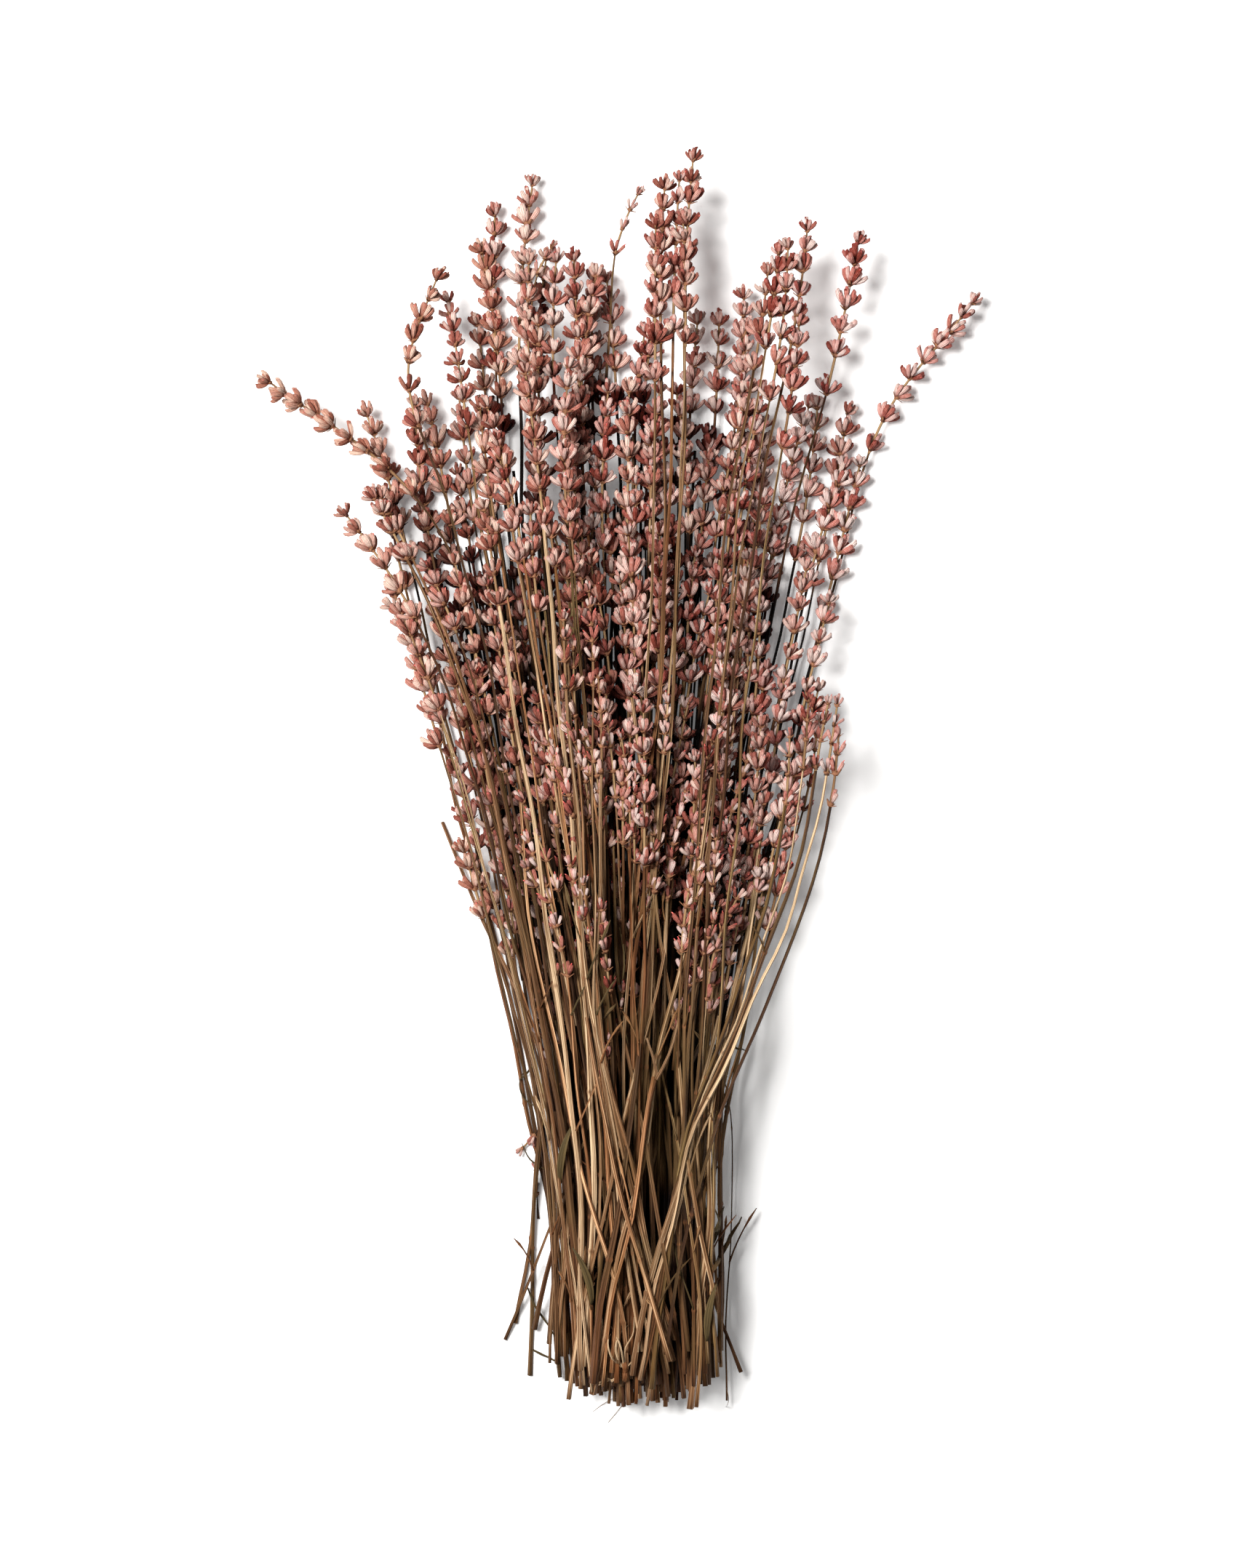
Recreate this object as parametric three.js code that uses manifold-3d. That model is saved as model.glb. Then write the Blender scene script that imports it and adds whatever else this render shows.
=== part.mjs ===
// A loose bunch of dried lavender, lying flat. Millimetres, +Z up, flower heads towards +Y.
import * as THREE from "three";
import { mergeVertices } from "three/addons/utils/BufferGeometryUtils.js";
import Module from "manifold-3d";

const wasm = await Module();
wasm.setup();

// Stems: ridged, with the flat side down, thick at the cut foot and thin under the flowers.
const FOOT_RADIUS = 1.6;
const NECK_RADIUS = 0.85;
const STEM_ROWS = 4;

// Flower heads: rings of pointed calyces up a slim core.
const WHORL_RADIUS = 4.3;
const WHORL_SPACING = 10.8;
const WHORL_HEIGHT = 3.4;
const WHORL_START = 1.2;
const CALYX_REACH = 5;
const CORE_RADIUS = 1;
const CUP_RADIUS = 2.7;
const BUD_LENGTH = 4;

// Heads side by side in a spray hold on to each other by two longer calyces that meet.
const HEAD_SPACING = 9;
const CALYX_MEETING = 1.3;

// Gaps between pieces that lie on each other, and how deep the lowest ones are pressed flat.
const BUTT_GAP = 0.3;
const LYING_GAP = 0.34;
const HEAD_MARGIN = 0.15;
const PRESSED_FLAT = 0.25;

// Laying a spray down: how much the height of its foot counts beside its mean height, what its
// bends and its tilt cost, the most that it may tilt, and how far and how often other shapes are
// tried.
const FOOT_WEIGHT = 0.5;
const BEND_PRICE = 0.0012;
const TILT_PRICE = 0.1;
const MOST_TILT = 2.5;
const TILT_SHARE = 0.12;
const FIRST_SHAPE = [10, 0, 0, 0];
const FIRST_REACH = 16;
const ROUNDS = 8;
const TRIES = 60;

// How finely paths are read, and the strips across the pile in which stems are looked up.
const CURVE_PARTS = 12;
const POINT_SPACING = 3;
const STRIP_WIDTH = 20;
const STRIP_ORIGIN = 400;
const STRIP_MARGIN = 10;

// How far each side of a three-sided stem reaches from its middle, as a share of its radius.
const THREE_SIDED = 0.87;

// Where the stems of a spray lie across it: at the foot they are in another order than at the
// heads, so that each crosses a neighbour on its way.
const BRAIDS = {
  1: { foot: [0], neck: [0] },
  2: { foot: [3, -3], neck: [-0.5, 0.5] },
  3: { foot: [0, 4.5, -4.5], neck: [-1, 0, 1] },
  4: { foot: [-2, 6, -6, 2], neck: [-1.5, -0.5, 0.5, 1.5] },
};

// Where the bunch is narrowest, and where its cut ends lie.
const WAIST_Y = -134;
const FOOT_Y = -239;

// Brings the middle of the whole bunch over the origin.
const CENTRE_X = 0.18;
const CENTRE_Y = 0.583;

// Sprays, from the bottom of the pile up: number of stems, x at the foot and at the waist,
// any points that it bends through, its tip, and the length of its heads.
const SPRAYS = [
  { stems: 3, foot: 18, waist: 18, tip: [38, 188], head: 80 },
  { stems: 2, foot: 0, waist: -12, via: [[-40, 80]], tip: [-47, 230], head: 76 },
  { stems: 3, foot: 8, waist: 4, tip: [-4, 194], head: 80 },
  { stems: 4, foot: -18, waist: -28, tip: [-80, 146], head: 76 },
  { stems: 4, foot: 27, waist: 25, tip: [72, 146], head: 76 },
  { stems: 4, foot: -6, waist: -14, tip: [-36, 92], head: 72 },
  { stems: 1, foot: 20, waist: 24, via: [[62, 90], [78, 150]], tip: [91, 207], head: 74 },
  { stems: 1, foot: 34.4, waist: 34.4, via: [[82, 80], [100, 138]], tip: [139, 181], head: 84 },
  { stems: 4, foot: 11, waist: 15, tip: [34, 152], head: 76 },
  { stems: 3, foot: -2, waist: -8, tip: [-30, 200], head: 80 },
  { stems: 1, foot: -24, waist: -32, via: [[-62, 74], [-86, 114]], tip: [-139, 150], head: 84 },
  { stems: 4, foot: 15, waist: 12, tip: [32, 88], head: 72 },
  { stems: 4, foot: 24, waist: 28, tip: [64, 84], head: 70 },
  { stems: 4, foot: 4, waist: -1, tip: [-4, 150], head: 76 },
  { stems: 4, foot: -16, waist: -22, tip: [-52, 26], head: 66 },
  { stems: 4, foot: 22, waist: 16, tip: [16, 30], head: 66 },
  { stems: 4, foot: 0, waist: 3, tip: [-2, 96], head: 70 },
  { stems: 2, foot: -12, waist: -16, tip: [-30, -18], head: 54 },
  { stems: 2, foot: 10, waist: 6, tip: [2, -14], head: 54 },
  { stems: 4, foot: 33, waist: 31, tip: [48, 24], head: 66 },
  { stems: 4, foot: -20, waist: -21, tip: [-70, 84], head: 70 },
  { stems: 2, foot: 14, waist: 8, via: [[18, 80]], tip: [18, 238], head: 78 },
  { stems: 4, foot: 2, waist: -2, tip: [-18, 34], head: 66 },
  { stems: 1, foot: -14, waist: -20, via: [[-62, 90], [-82, 150]], tip: [-76, 194], head: 74 },
  { stems: 2, foot: 34, waist: 28, tip: [36, -20], head: 54 },
  { stems: 2, foot: -14, waist: -26, via: [[-62, 30]], tip: [-102, 117], head: 66 },
  { stems: 2, foot: 30, waist: 27, via: [[44, 80]], tip: [68, 212], head: 74 },
  { stems: 4, foot: -10, waist: -9, tip: [-42, 156], head: 76 },
  { stems: 2, foot: 17, waist: -4, via: [[-12, -80]], tip: [-17, 74], head: 44 },
  { stems: 2, foot: 6, waist: 26, via: [[47, -84], [66, -28]], tip: [76, 32], head: 34 },
];

// Dry leaves left on the uppermost stems: the spray's place in the pile counted from 1, the stem,
// how far from the foot the leaf grows, and how far it curls up and to the right of the stem.
const LEAVES = [
  { spray: 28, stem: 0, at: 40, rise: 6, aside: -7 },
  { spray: 27, stem: 0, at: 26, rise: 4, aside: 5 },
  { spray: 26, stem: 1, at: 86, rise: 7, aside: 8 },
  { spray: 25, stem: 1, at: 47, rise: 5, aside: 7 },
];
const LEAF_LENGTH = 22;
const LEAF_WIDTH = 3.2;
const LEAF_THICKNESS = 0.8;
const LEAF_ROOT = 0.3;

// Faces that lie in one plane within this much are made one.
const FLAT_WITHIN = 0.002;

// A slab under the surface on which the bunch lies: width, length and thickness.
const GROUND = [600, 700, 20];

const STEM = new THREE.MeshStandardMaterial({ color: 0xb08d61, roughness: 0.8, metalness: 0 });
const FLOWER = new THREE.MeshStandardMaterial({ color: 0xb4706c, roughness: 0.85, metalness: 0 });

let seed = 20417;
function draw(low, high) {
  seed = (seed * 1664525 + 1013904223) % 4294967296;
  return low + ((high - low) * seed) / 4294967296;
}

function hypot(x, y) {
  return Math.sqrt(x * x + y * y);
}

function mix(a, b, t) {
  return a + (b - a) * t;
}

// A smooth curve in plan through the given points, read by its length from the foot.
function curveThrough(points) {
  const last = points.length - 1;
  const chord = [];
  for (let i = 0; i < last; i++) {
    chord.push(hypot(points[i + 1][0] - points[i][0], points[i + 1][1] - points[i][1]));
  }
  const slope = points.map((p, i) => {
    const a = Math.max(i - 1, 0);
    const b = Math.min(i + 1, last);
    const run = (i > 0 ? chord[i - 1] : 0) + (i < last ? chord[i] : 0);
    return [(points[b][0] - points[a][0]) / run, (points[b][1] - points[a][1]) / run];
  });
  const fine = [];
  for (let i = 0; i < last; i++) {
    for (let k = 0; k < (i === last - 1 ? CURVE_PARTS + 1 : CURVE_PARTS); k++) {
      const t = k / CURVE_PARTS;
      const ends = [1 - 3 * t * t + 2 * t * t * t, 3 * t * t - 2 * t * t * t];
      const pulls = [(t - 2 * t * t + t * t * t) * chord[i], (t * t * t - t * t) * chord[i]];
      fine.push([0, 1].map((axis) =>
        points[i][axis] * ends[0] + points[i + 1][axis] * ends[1]
        + slope[i][axis] * pulls[0] + slope[i + 1][axis] * pulls[1]));
    }
  }
  const along = [0];
  for (let i = 1; i < fine.length; i++) {
    along.push(along[i - 1] + hypot(fine[i][0] - fine[i - 1][0], fine[i][1] - fine[i - 1][1]));
  }
  return { fine, along, length: along[along.length - 1] };
}

// The place at length v along the curve and u to its right.
function placeOn(curve, v, u) {
  const { fine, along } = curve;
  let i = 0;
  while (i < fine.length - 2 && along[i + 1] < v) i++;
  const t = (v - along[i]) / (along[i + 1] - along[i]);
  const heading = (k) => {
    const a = fine[Math.max(k - 1, 0)];
    const b = fine[Math.min(k + 1, fine.length - 1)];
    const run = hypot(b[0] - a[0], b[1] - a[1]);
    return [(b[0] - a[0]) / run, (b[1] - a[1]) / run];
  };
  const one = heading(i);
  const two = heading(i + 1);
  let dx = mix(one[0], two[0], t);
  let dy = mix(one[1], two[1], t);
  const run = hypot(dx, dy);
  dx /= run;
  dy /= run;
  return {
    x: mix(fine[i][0], fine[i + 1][0], t) + u * dy,
    y: mix(fine[i][1], fine[i + 1][1], t) - u * dx,
    dx,
    dy,
  };
}

// How far to the right of the path a stem lies: straight to the neck, then spreading.
function across(stem, v) {
  if (v <= stem.neckAt) return mix(stem.foot, stem.neck, v / stem.neckAt);
  const on = v - stem.neckAt;
  return stem.neck + ((stem.neck - stem.foot) / stem.neckAt) * on + stem.flare * on * on;
}

function layOut(spec) {
  const path = [[spec.foot, FOOT_Y], [spec.waist, WAIST_Y], ...(spec.via || []), spec.tip];
  const curve = curveThrough(path);
  const braid = BRAIDS[spec.stems];
  const side = draw(0, 1) < 0.5 ? -1 : 1;
  const most = Math.floor(spec.head / WHORL_SPACING);
  const first = curve.length - (most - 1) * WHORL_SPACING - WHORL_HEIGHT - BUD_LENGTH - WHORL_START;
  const stems = [];
  for (let i = 0; i < spec.stems; i++) {
    const late = spec.stems === 1 ? 0 : Math.floor(draw(0, 2.3));
    const short = spec.stems === 1 ? 0 : Math.floor(draw(0, 1.6));
    const stem = {
      foot: side * braid.foot[i],
      neck: side * braid.neck[i] * HEAD_SPACING,
      neckAt: first + late * WHORL_SPACING,
      start: spec.stems === 1 ? 0 : draw(0, 16),
      size: draw(0.9, 1.04),
      flare: side * braid.neck[i] * draw(0.0002, 0.0007) + draw(-0.0004, 0.0004),
      late,
      whorls: Math.max(3, most - late - short),
      meets: {},
      rings: [],
    };
    for (let k = 0; k <= STEM_ROWS; k++) {
      const v = mix(stem.start, stem.neckAt, k / STEM_ROWS);
      const thick = mix(FOOT_RADIUS, NECK_RADIUS, v / stem.neckAt);
      stem.rings.push({ v, top: thick, bottom: thick / 2 });
    }
    for (let w = 0; w <= stem.whorls; w++) {
      const thick = WHORL_RADIUS * stem.size + HEAD_MARGIN;
      stem.rings.push({ v: stem.neckAt + w * WHORL_SPACING, round: true, top: thick, bottom: thick });
    }
    for (const ring of stem.rings) {
      ring.u = across(stem, ring.v);
      Object.assign(ring, placeOn(curve, ring.v, ring.u));
    }
    stems.push(stem);
  }
  stems.sort((a, b) => a.neck - b.neck);
  for (let i = 0; i < stems.length - 1; i++) {
    const from = Math.max(stems[i].late, stems[i + 1].late);
    const to = Math.min(stems[i].late + stems[i].whorls, stems[i + 1].late + stems[i + 1].whorls) - 1;
    const at = Math.min(from + (i % 2), to);
    stems[i].meets[at - stems[i].late] = [...(stems[i].meets[at - stems[i].late] || []), stems[i + 1]];
    stems[i + 1].meets[at - stems[i + 1].late] = [stems[i]];
  }
  return { curve, stems, spec };
}

// Close points along the spray's stems, each with the share of its two rings.
function pointsAlong(spray) {
  const points = [];
  for (const stem of spray.stems) {
    for (let k = 0; k < stem.rings.length - 1; k++) {
      const a = stem.rings[k];
      const b = stem.rings[k + 1];
      const steps = Math.ceil(hypot(b.x - a.x, b.y - a.y) / POINT_SPACING);
      for (let i = 0; i < steps; i++) {
        const t = i / steps;
        points.push({ x: mix(a.x, b.x, t), y: mix(a.y, b.y, t), a, b, t });
      }
    }
  }
  return points;
}

function stripAt(y) {
  return Math.floor((y + STRIP_ORIGIN) / STRIP_WIDTH);
}

// The lowest height at which each point clears the surface and what lies there already.
function floorUnder(points, lying) {
  return points.map((p) => {
    const round = p.a.round && p.b.round;
    const bottom = round ? mix(p.a.bottom, p.b.bottom, p.t) : p.a.round ? p.b.bottom : p.a.bottom;
    let low = bottom - PRESSED_FLAT;
    for (const q of lying[stripAt(p.y)] || []) {
      const ax = q.b.x - q.a.x;
      const ay = q.b.y - q.a.y;
      let t = ((p.x - q.a.x) * ax + (p.y - q.a.y) * ay) / (ax * ax + ay * ay);
      t = Math.min(1, Math.max(0, t));
      const away = hypot(p.x - q.a.x - ax * t, p.y - q.a.y - ay * t);
      const headBelow = q.a.round && q.b.round;
      const near = bottom + (headBelow ? q.a.top : q.a.round ? q.b.top : q.a.top) + LYING_GAP;
      const wide = round || headBelow ? near : THREE_SIDED * (q.a.top + 2 * bottom) + LYING_GAP;
      if (away >= wide) continue;
      const rise = round || headBelow ? Math.sqrt(near * near - away * away) : near;
      const z = mix(q.a.z, q.b.z, t) + rise;
      if (z > low) low = z;
    }
    return low;
  });
}

// The spray is one gently curved sheet. The best of many small changes to its slopes and bends
// is the one that lets it lie lowest on the pile.
function settle(spray, lying) {
  const points = pointsAlong(spray);
  const low = floorUnder(points, lying);
  const length = spray.curve.length;
  const terms = (ring) => {
    const t = ring.v / length;
    return [t, t * t, t * t * t, (ring.u * t) / 10];
  };
  for (const stem of spray.stems) for (const ring of stem.rings) ring.terms = terms(ring);
  const rows = points.map((p) => p.a.terms.map((value, k) => mix(value, p.b.terms[k], p.t)));
  const mean = [0, 0, 0, 0];
  for (const row of rows) for (let k = 0; k < 4; k++) mean[k] += row[k] / rows.length;
  const lift = (shape) => {
    let most = -1e9;
    for (let i = 0; i < rows.length; i++) {
      const r = rows[i];
      const need = low[i] - shape[0] * r[0] - shape[1] * r[1] - shape[2] * r[2] - shape[3] * r[3];
      if (need > most) most = need;
    }
    return most;
  };
  const cost = (shape) => {
    const foot = lift(shape);
    let sum = foot * (1 + FOOT_WEIGHT);
    for (let k = 0; k < 4; k++) sum += shape[k] * mean[k];
    return sum + BEND_PRICE * (shape[1] * shape[1] + shape[2] * shape[2]) + TILT_PRICE * shape[3] * shape[3];
  };
  let best = FIRST_SHAPE;
  let least = cost(best);
  let reach = FIRST_REACH;
  for (let round = 0; round < ROUNDS; round++) {
    for (let tries = 0; tries < TRIES; tries++) {
      const next = best.map((value, k) => value + draw(-1, 1) * reach * (k === 3 ? TILT_SHARE : 1));
      if (Math.abs(next[3]) > MOST_TILT) continue;
      const price = cost(next);
      if (price < least) {
        least = price;
        best = next;
      }
    }
    reach *= 0.6;
  }
  const base = lift(best);
  for (const stem of spray.stems) {
    for (const ring of stem.rings) {
      ring.z = base;
      for (let k = 0; k < 4; k++) ring.z += best[k] * ring.terms[k];
    }
    for (let k = 0; k < stem.rings.length - 1; k++) {
      const a = stem.rings[k];
      const b = stem.rings[k + 1];
      if (a.v === b.v) continue;
      const from = stripAt(Math.min(a.y, b.y) - STRIP_MARGIN);
      const to = stripAt(Math.max(a.y, b.y) + STRIP_MARGIN);
      for (let bin = from; bin <= to; bin++) (lying[bin] = lying[bin] || []).push({ a, b });
    }
  }
  spray.shape = best;
  spray.base = base;
}

function heightAt(spray, v, u) {
  const t = v / spray.curve.length;
  const s = spray.shape;
  return spray.base + s[0] * t + s[1] * t * t + s[2] * t * t * t + (s[3] * u * t) / 10;
}

function solidOf(geometry) {
  geometry.deleteAttribute("normal");
  geometry.deleteAttribute("uv");
  const merged = mergeVertices(geometry, 1e-4);
  return new wasm.Manifold(new wasm.Mesh({
    numProp: 3,
    vertProperties: Float32Array.from(merged.attributes.position.array),
    triVerts: Uint32Array.from(merged.index.array),
  }));
}

// A cylinder's rings, from its near end to its far one, are laid along the stem's own rings.
function stemSolid(spray, stem) {
  const tube = new THREE.CylinderGeometry(1, 1, STEM_ROWS, 3, STEM_ROWS);
  const place = tube.attributes.position;
  for (let i = 0; i < place.count; i++) {
    const row = Math.round(place.getY(i) + STEM_ROWS / 2);
    const ring = stem.rings[row];
    const at = placeOn(spray.curve, ring.v - (row === STEM_ROWS ? BUTT_GAP / 2 : 0), ring.u);
    const right = place.getX(i) * ring.top;
    place.setXYZ(i, at.x + right * at.dy, at.y - right * at.dx, ring.z + place.getZ(i) * ring.top);
  }
  return solidOf(tube);
}

// A three-sided core whose every second band is twisted, so that its six faces can each be
// raised to the point of a calyx.
function headSolid(spray, stem) {
  const rows = stem.whorls * 2;
  const tube = new THREE.CylinderGeometry(1, 1, rows, 3, rows);
  tube.deleteAttribute("normal");
  tube.deleteAttribute("uv");
  const merged = mergeVertices(tube, 1e-4);
  const base = merged.attributes.position;
  const lean = Array.from({ length: stem.whorls }, (_, w) => (stem.meets[w] ? 0 : draw(-0.3, 0.3)));
  const shrink = (whorl) => stem.size * (whorl === stem.whorls - 1 ? 0.72 : 1);
  const rowAt = (row) => {
    if (row === 0) return { v: stem.neckAt + BUTT_GAP / 2, radius: CORE_RADIUS, angle: 0 };
    const whorl = Math.floor((row - 1) / 2);
    const upper = row % 2 === 0;
    return {
      v: stem.neckAt + whorl * WHORL_SPACING + WHORL_START + (upper ? WHORL_HEIGHT : 0),
      radius: upper ? CUP_RADIUS * shrink(whorl) : CORE_RADIUS,
      angle: -(whorl + (upper ? 1 : 0)) * (Math.PI / 3) + lean[whorl],
    };
  };
  const point = (v, radius, angle) => {
    const u = across(stem, v);
    const at = placeOn(spray.curve, v, u);
    const right = radius * Math.sin(angle);
    return [at.x + right * at.dy, at.y - right * at.dx, heightAt(spray, v, u) + radius * Math.cos(angle)];
  };
  const places = [];
  const marks = [];
  for (let i = 0; i < base.count; i++) {
    const row = Math.round(base.getY(i) + rows / 2);
    const ring = rowAt(row);
    const axis = hypot(base.getX(i), base.getZ(i)) < 0.5;
    const angle = Math.atan2(base.getX(i), base.getZ(i)) + Math.PI / 6 + ring.angle;
    places.push(...point(axis && row === rows ? ring.v + BUD_LENGTH : ring.v, axis ? 0 : ring.radius, angle));
    marks.push({ row, axis, angle });
  }
  const faces = [];
  const index = merged.index.array;
  for (let f = 0; f < index.length; f += 3) {
    const corner = [index[f], index[f + 1], index[f + 2]];
    const low = Math.min(...corner.map((k) => marks[k].row));
    if (corner.some((k) => marks[k].axis) || low % 2 === 0) {
      faces.push(...corner);
      continue;
    }
    const whorl = (low - 1) / 2;
    const high = corner.filter((k) => marks[k].row > low).length === 2;
    const angle = Math.atan2(
      corner.reduce((sum, k) => sum + Math.sin(marks[k].angle), 0),
      corner.reduce((sum, k) => sum + Math.cos(marks[k].angle), 0),
    );
    const v = rowAt(low).v;
    const met = (stem.meets[whorl] || []).find((other) =>
      Math.cos(angle - (Math.sign(other.neck - stem.neck) * Math.PI) / 2) > 0.9);
    const tip = places.length / 3;
    if (met) {
      const along = v + CALYX_REACH;
      const mine = point(along, 0, 0);
      const theirs = placeOn(spray.curve, along, across(met, along));
      const to = [theirs.x, theirs.y, heightAt(spray, along, across(met, along))];
      const share = 0.5 + CALYX_MEETING / hypot(to[0] - mine[0], to[1] - mine[1]);
      places.push(...mine.map((value, k) => mix(value, to[k], share)));
    } else {
      const reach = shrink(whorl) * WHORL_RADIUS * (high ? draw(0.72, 0.86) : draw(0.9, 1));
      const on = CALYX_REACH * shrink(whorl) * (high ? draw(1.15, 1.35) : draw(0.8, 0.93));
      places.push(...point(v + on, reach, angle));
    }
    faces.push(corner[0], corner[1], tip, corner[1], corner[2], tip, corner[2], corner[0], tip);
  }
  return new wasm.Manifold(new wasm.Mesh({
    numProp: 3,
    vertProperties: Float32Array.from(places),
    triVerts: Uint32Array.from(faces),
  }));
}

// A narrow blade with its root sunk in the stem, arching away over it.
function leafSolid(spray, leaf) {
  const stem = spray.stems[leaf.stem];
  const blade = new THREE.BoxGeometry(1, 1, 1, 1, 1, 3);
  const place = blade.attributes.position;
  for (let i = 0; i < place.count; i++) {
    const s = 0.5 - place.getZ(i);
    const v = leaf.at + s * LEAF_LENGTH;
    const at = placeOn(spray.curve, v, across(stem, v));
    const wide = place.getX(i) * LEAF_WIDTH * (s < 0.1 ? 0.4 : s > 0.9 ? 0.25 : 1);
    const right = wide + leaf.aside * s * s;
    const thick = (place.getY(i) + 0.5) * LEAF_THICKNESS;
    const up = heightAt(spray, v, across(stem, v)) + LEAF_ROOT + leaf.rise * s + thick;
    place.setXYZ(i, at.x + right * at.dy, at.y - right * at.dx, up);
  }
  return solidOf(blade);
}

// What reaches below the surface is pressed flat on it.
function pressed(solid) {
  if (solid.boundingBox().min[2] >= 0) return solid;
  const slab = new THREE.BoxGeometry(...GROUND);
  slab.translate(0, 0, -GROUND[2] / 2);
  return solid.subtract(solidOf(slab));
}

function meshOf(name, solid, material) {
  const { vertProperties, triVerts } = solid.getMesh();
  const geometry = new THREE.BufferGeometry();
  geometry.setAttribute("position", new THREE.BufferAttribute(vertProperties, 3));
  geometry.setIndex(new THREE.BufferAttribute(triVerts, 1));
  geometry.translate(CENTRE_X, CENTRE_Y, 0);
  geometry.computeVertexNormals();
  const mesh = new THREE.Mesh(geometry, material);
  mesh.name = name;
  return mesh;
}

const lying = {};
const sprays = SPRAYS.map((spec) => {
  const spray = layOut(spec);
  settle(spray, lying);
  return spray;
});

const lavender = new THREE.Group();
sprays.forEach((spray, i) => {
  const join = (solids) => pressed(solids.reduce((a, b) => a.add(b))).simplify(FLAT_WITHIN);
  const name = String(i + 1).padStart(2, "0");
  const leaves = LEAVES.filter((leaf) => leaf.spray === i + 1).map((leaf) => leafSolid(spray, leaf));
  const stems = spray.stems.map((stem) => stemSolid(spray, stem));
  const heads = spray.stems.map((stem) => headSolid(spray, stem));
  lavender.add(meshOf(`stems_${name}`, join([...stems, ...leaves]), STEM));
  lavender.add(meshOf(`flowers_${name}`, join(heads), FLOWER));
});

export default lavender;
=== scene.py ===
import math

import bmesh
import bpy
import numpy as np
from bpy.props import FloatProperty, FloatVectorProperty, PointerProperty
from mathutils import Matrix, Vector


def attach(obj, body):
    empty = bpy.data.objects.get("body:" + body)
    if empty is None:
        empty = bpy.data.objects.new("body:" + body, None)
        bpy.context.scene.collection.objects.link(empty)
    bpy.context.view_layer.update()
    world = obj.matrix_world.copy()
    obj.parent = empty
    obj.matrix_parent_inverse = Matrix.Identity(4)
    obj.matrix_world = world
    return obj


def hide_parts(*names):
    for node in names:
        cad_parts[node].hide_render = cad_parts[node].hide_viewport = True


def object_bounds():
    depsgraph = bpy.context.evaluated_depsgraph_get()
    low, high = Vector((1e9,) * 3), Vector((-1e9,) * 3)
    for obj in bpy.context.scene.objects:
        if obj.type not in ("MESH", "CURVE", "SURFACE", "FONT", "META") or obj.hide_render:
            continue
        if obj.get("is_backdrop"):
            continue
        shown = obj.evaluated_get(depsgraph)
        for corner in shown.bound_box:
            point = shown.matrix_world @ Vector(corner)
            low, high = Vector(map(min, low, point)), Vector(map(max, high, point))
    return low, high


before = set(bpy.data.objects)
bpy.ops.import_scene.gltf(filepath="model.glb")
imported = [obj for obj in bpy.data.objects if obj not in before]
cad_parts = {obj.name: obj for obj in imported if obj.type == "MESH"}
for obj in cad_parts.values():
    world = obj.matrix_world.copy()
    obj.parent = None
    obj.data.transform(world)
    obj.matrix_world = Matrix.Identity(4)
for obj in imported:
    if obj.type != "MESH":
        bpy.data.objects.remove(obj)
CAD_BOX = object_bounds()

bl_info = {
    "name": "Dried Lavender Bunch",
    "version": (1, 0, 0),
    "blender": (4, 5, 0),
    "location": "3D View > Sidebar > Lavender",
    "description": "Dresses the packed solids of a lying bunch of dried lavender",
    "category": "Add Mesh",
}

MM = 0.001
TURN = 2 * math.pi

# The layout of the bunch, in millimetres, as its solids have it.
FOOT_RADIUS = 1.6
NECK_RADIUS = 0.85
STEM_ROWS = 4
WHORL_RADIUS = 4.3
WHORL_SPACING = 10.8
WHORL_HEIGHT = 3.4
BUD_LENGTH = 4
HEAD_SPACING = 9
TIP_GAP = 1.2
LYING_GAP = 0.34
PRESSED_FLAT = 0.25
WAIST_Y = -134
FOOT_Y = -239
CENTRE_X = 0.18
CENTRE_Y = 0.583
BRAIDS = {
    1: ((0,), (0,)),
    2: ((3, -3), (-0.5, 0.5)),
    3: ((0, 4.5, -4.5), (-1, 0, 1)),
    4: ((-2, 6, -6, 2), (-1.5, -0.5, 0.5, 1.5)),
}

# How a spray finds its place on the pile: what its foot, its bends and its twist weigh, and how widely and
# how often other slopes are tried. The last slope is the twist.
FOOT_WEIGHT = 0.5
BEND_COST = 0.0012
TWIST_COST = 0.1
MOST_TWIST = 2.5
FIRST_REACH = 16
REACH_SHARES = (1, 1, 1, 0.12)
ROUNDS = 8
TRIES = 60

# What lies on the pile is found by strips across it.
STRIP = 20
FIRST_STRIP_Y = -400

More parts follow.
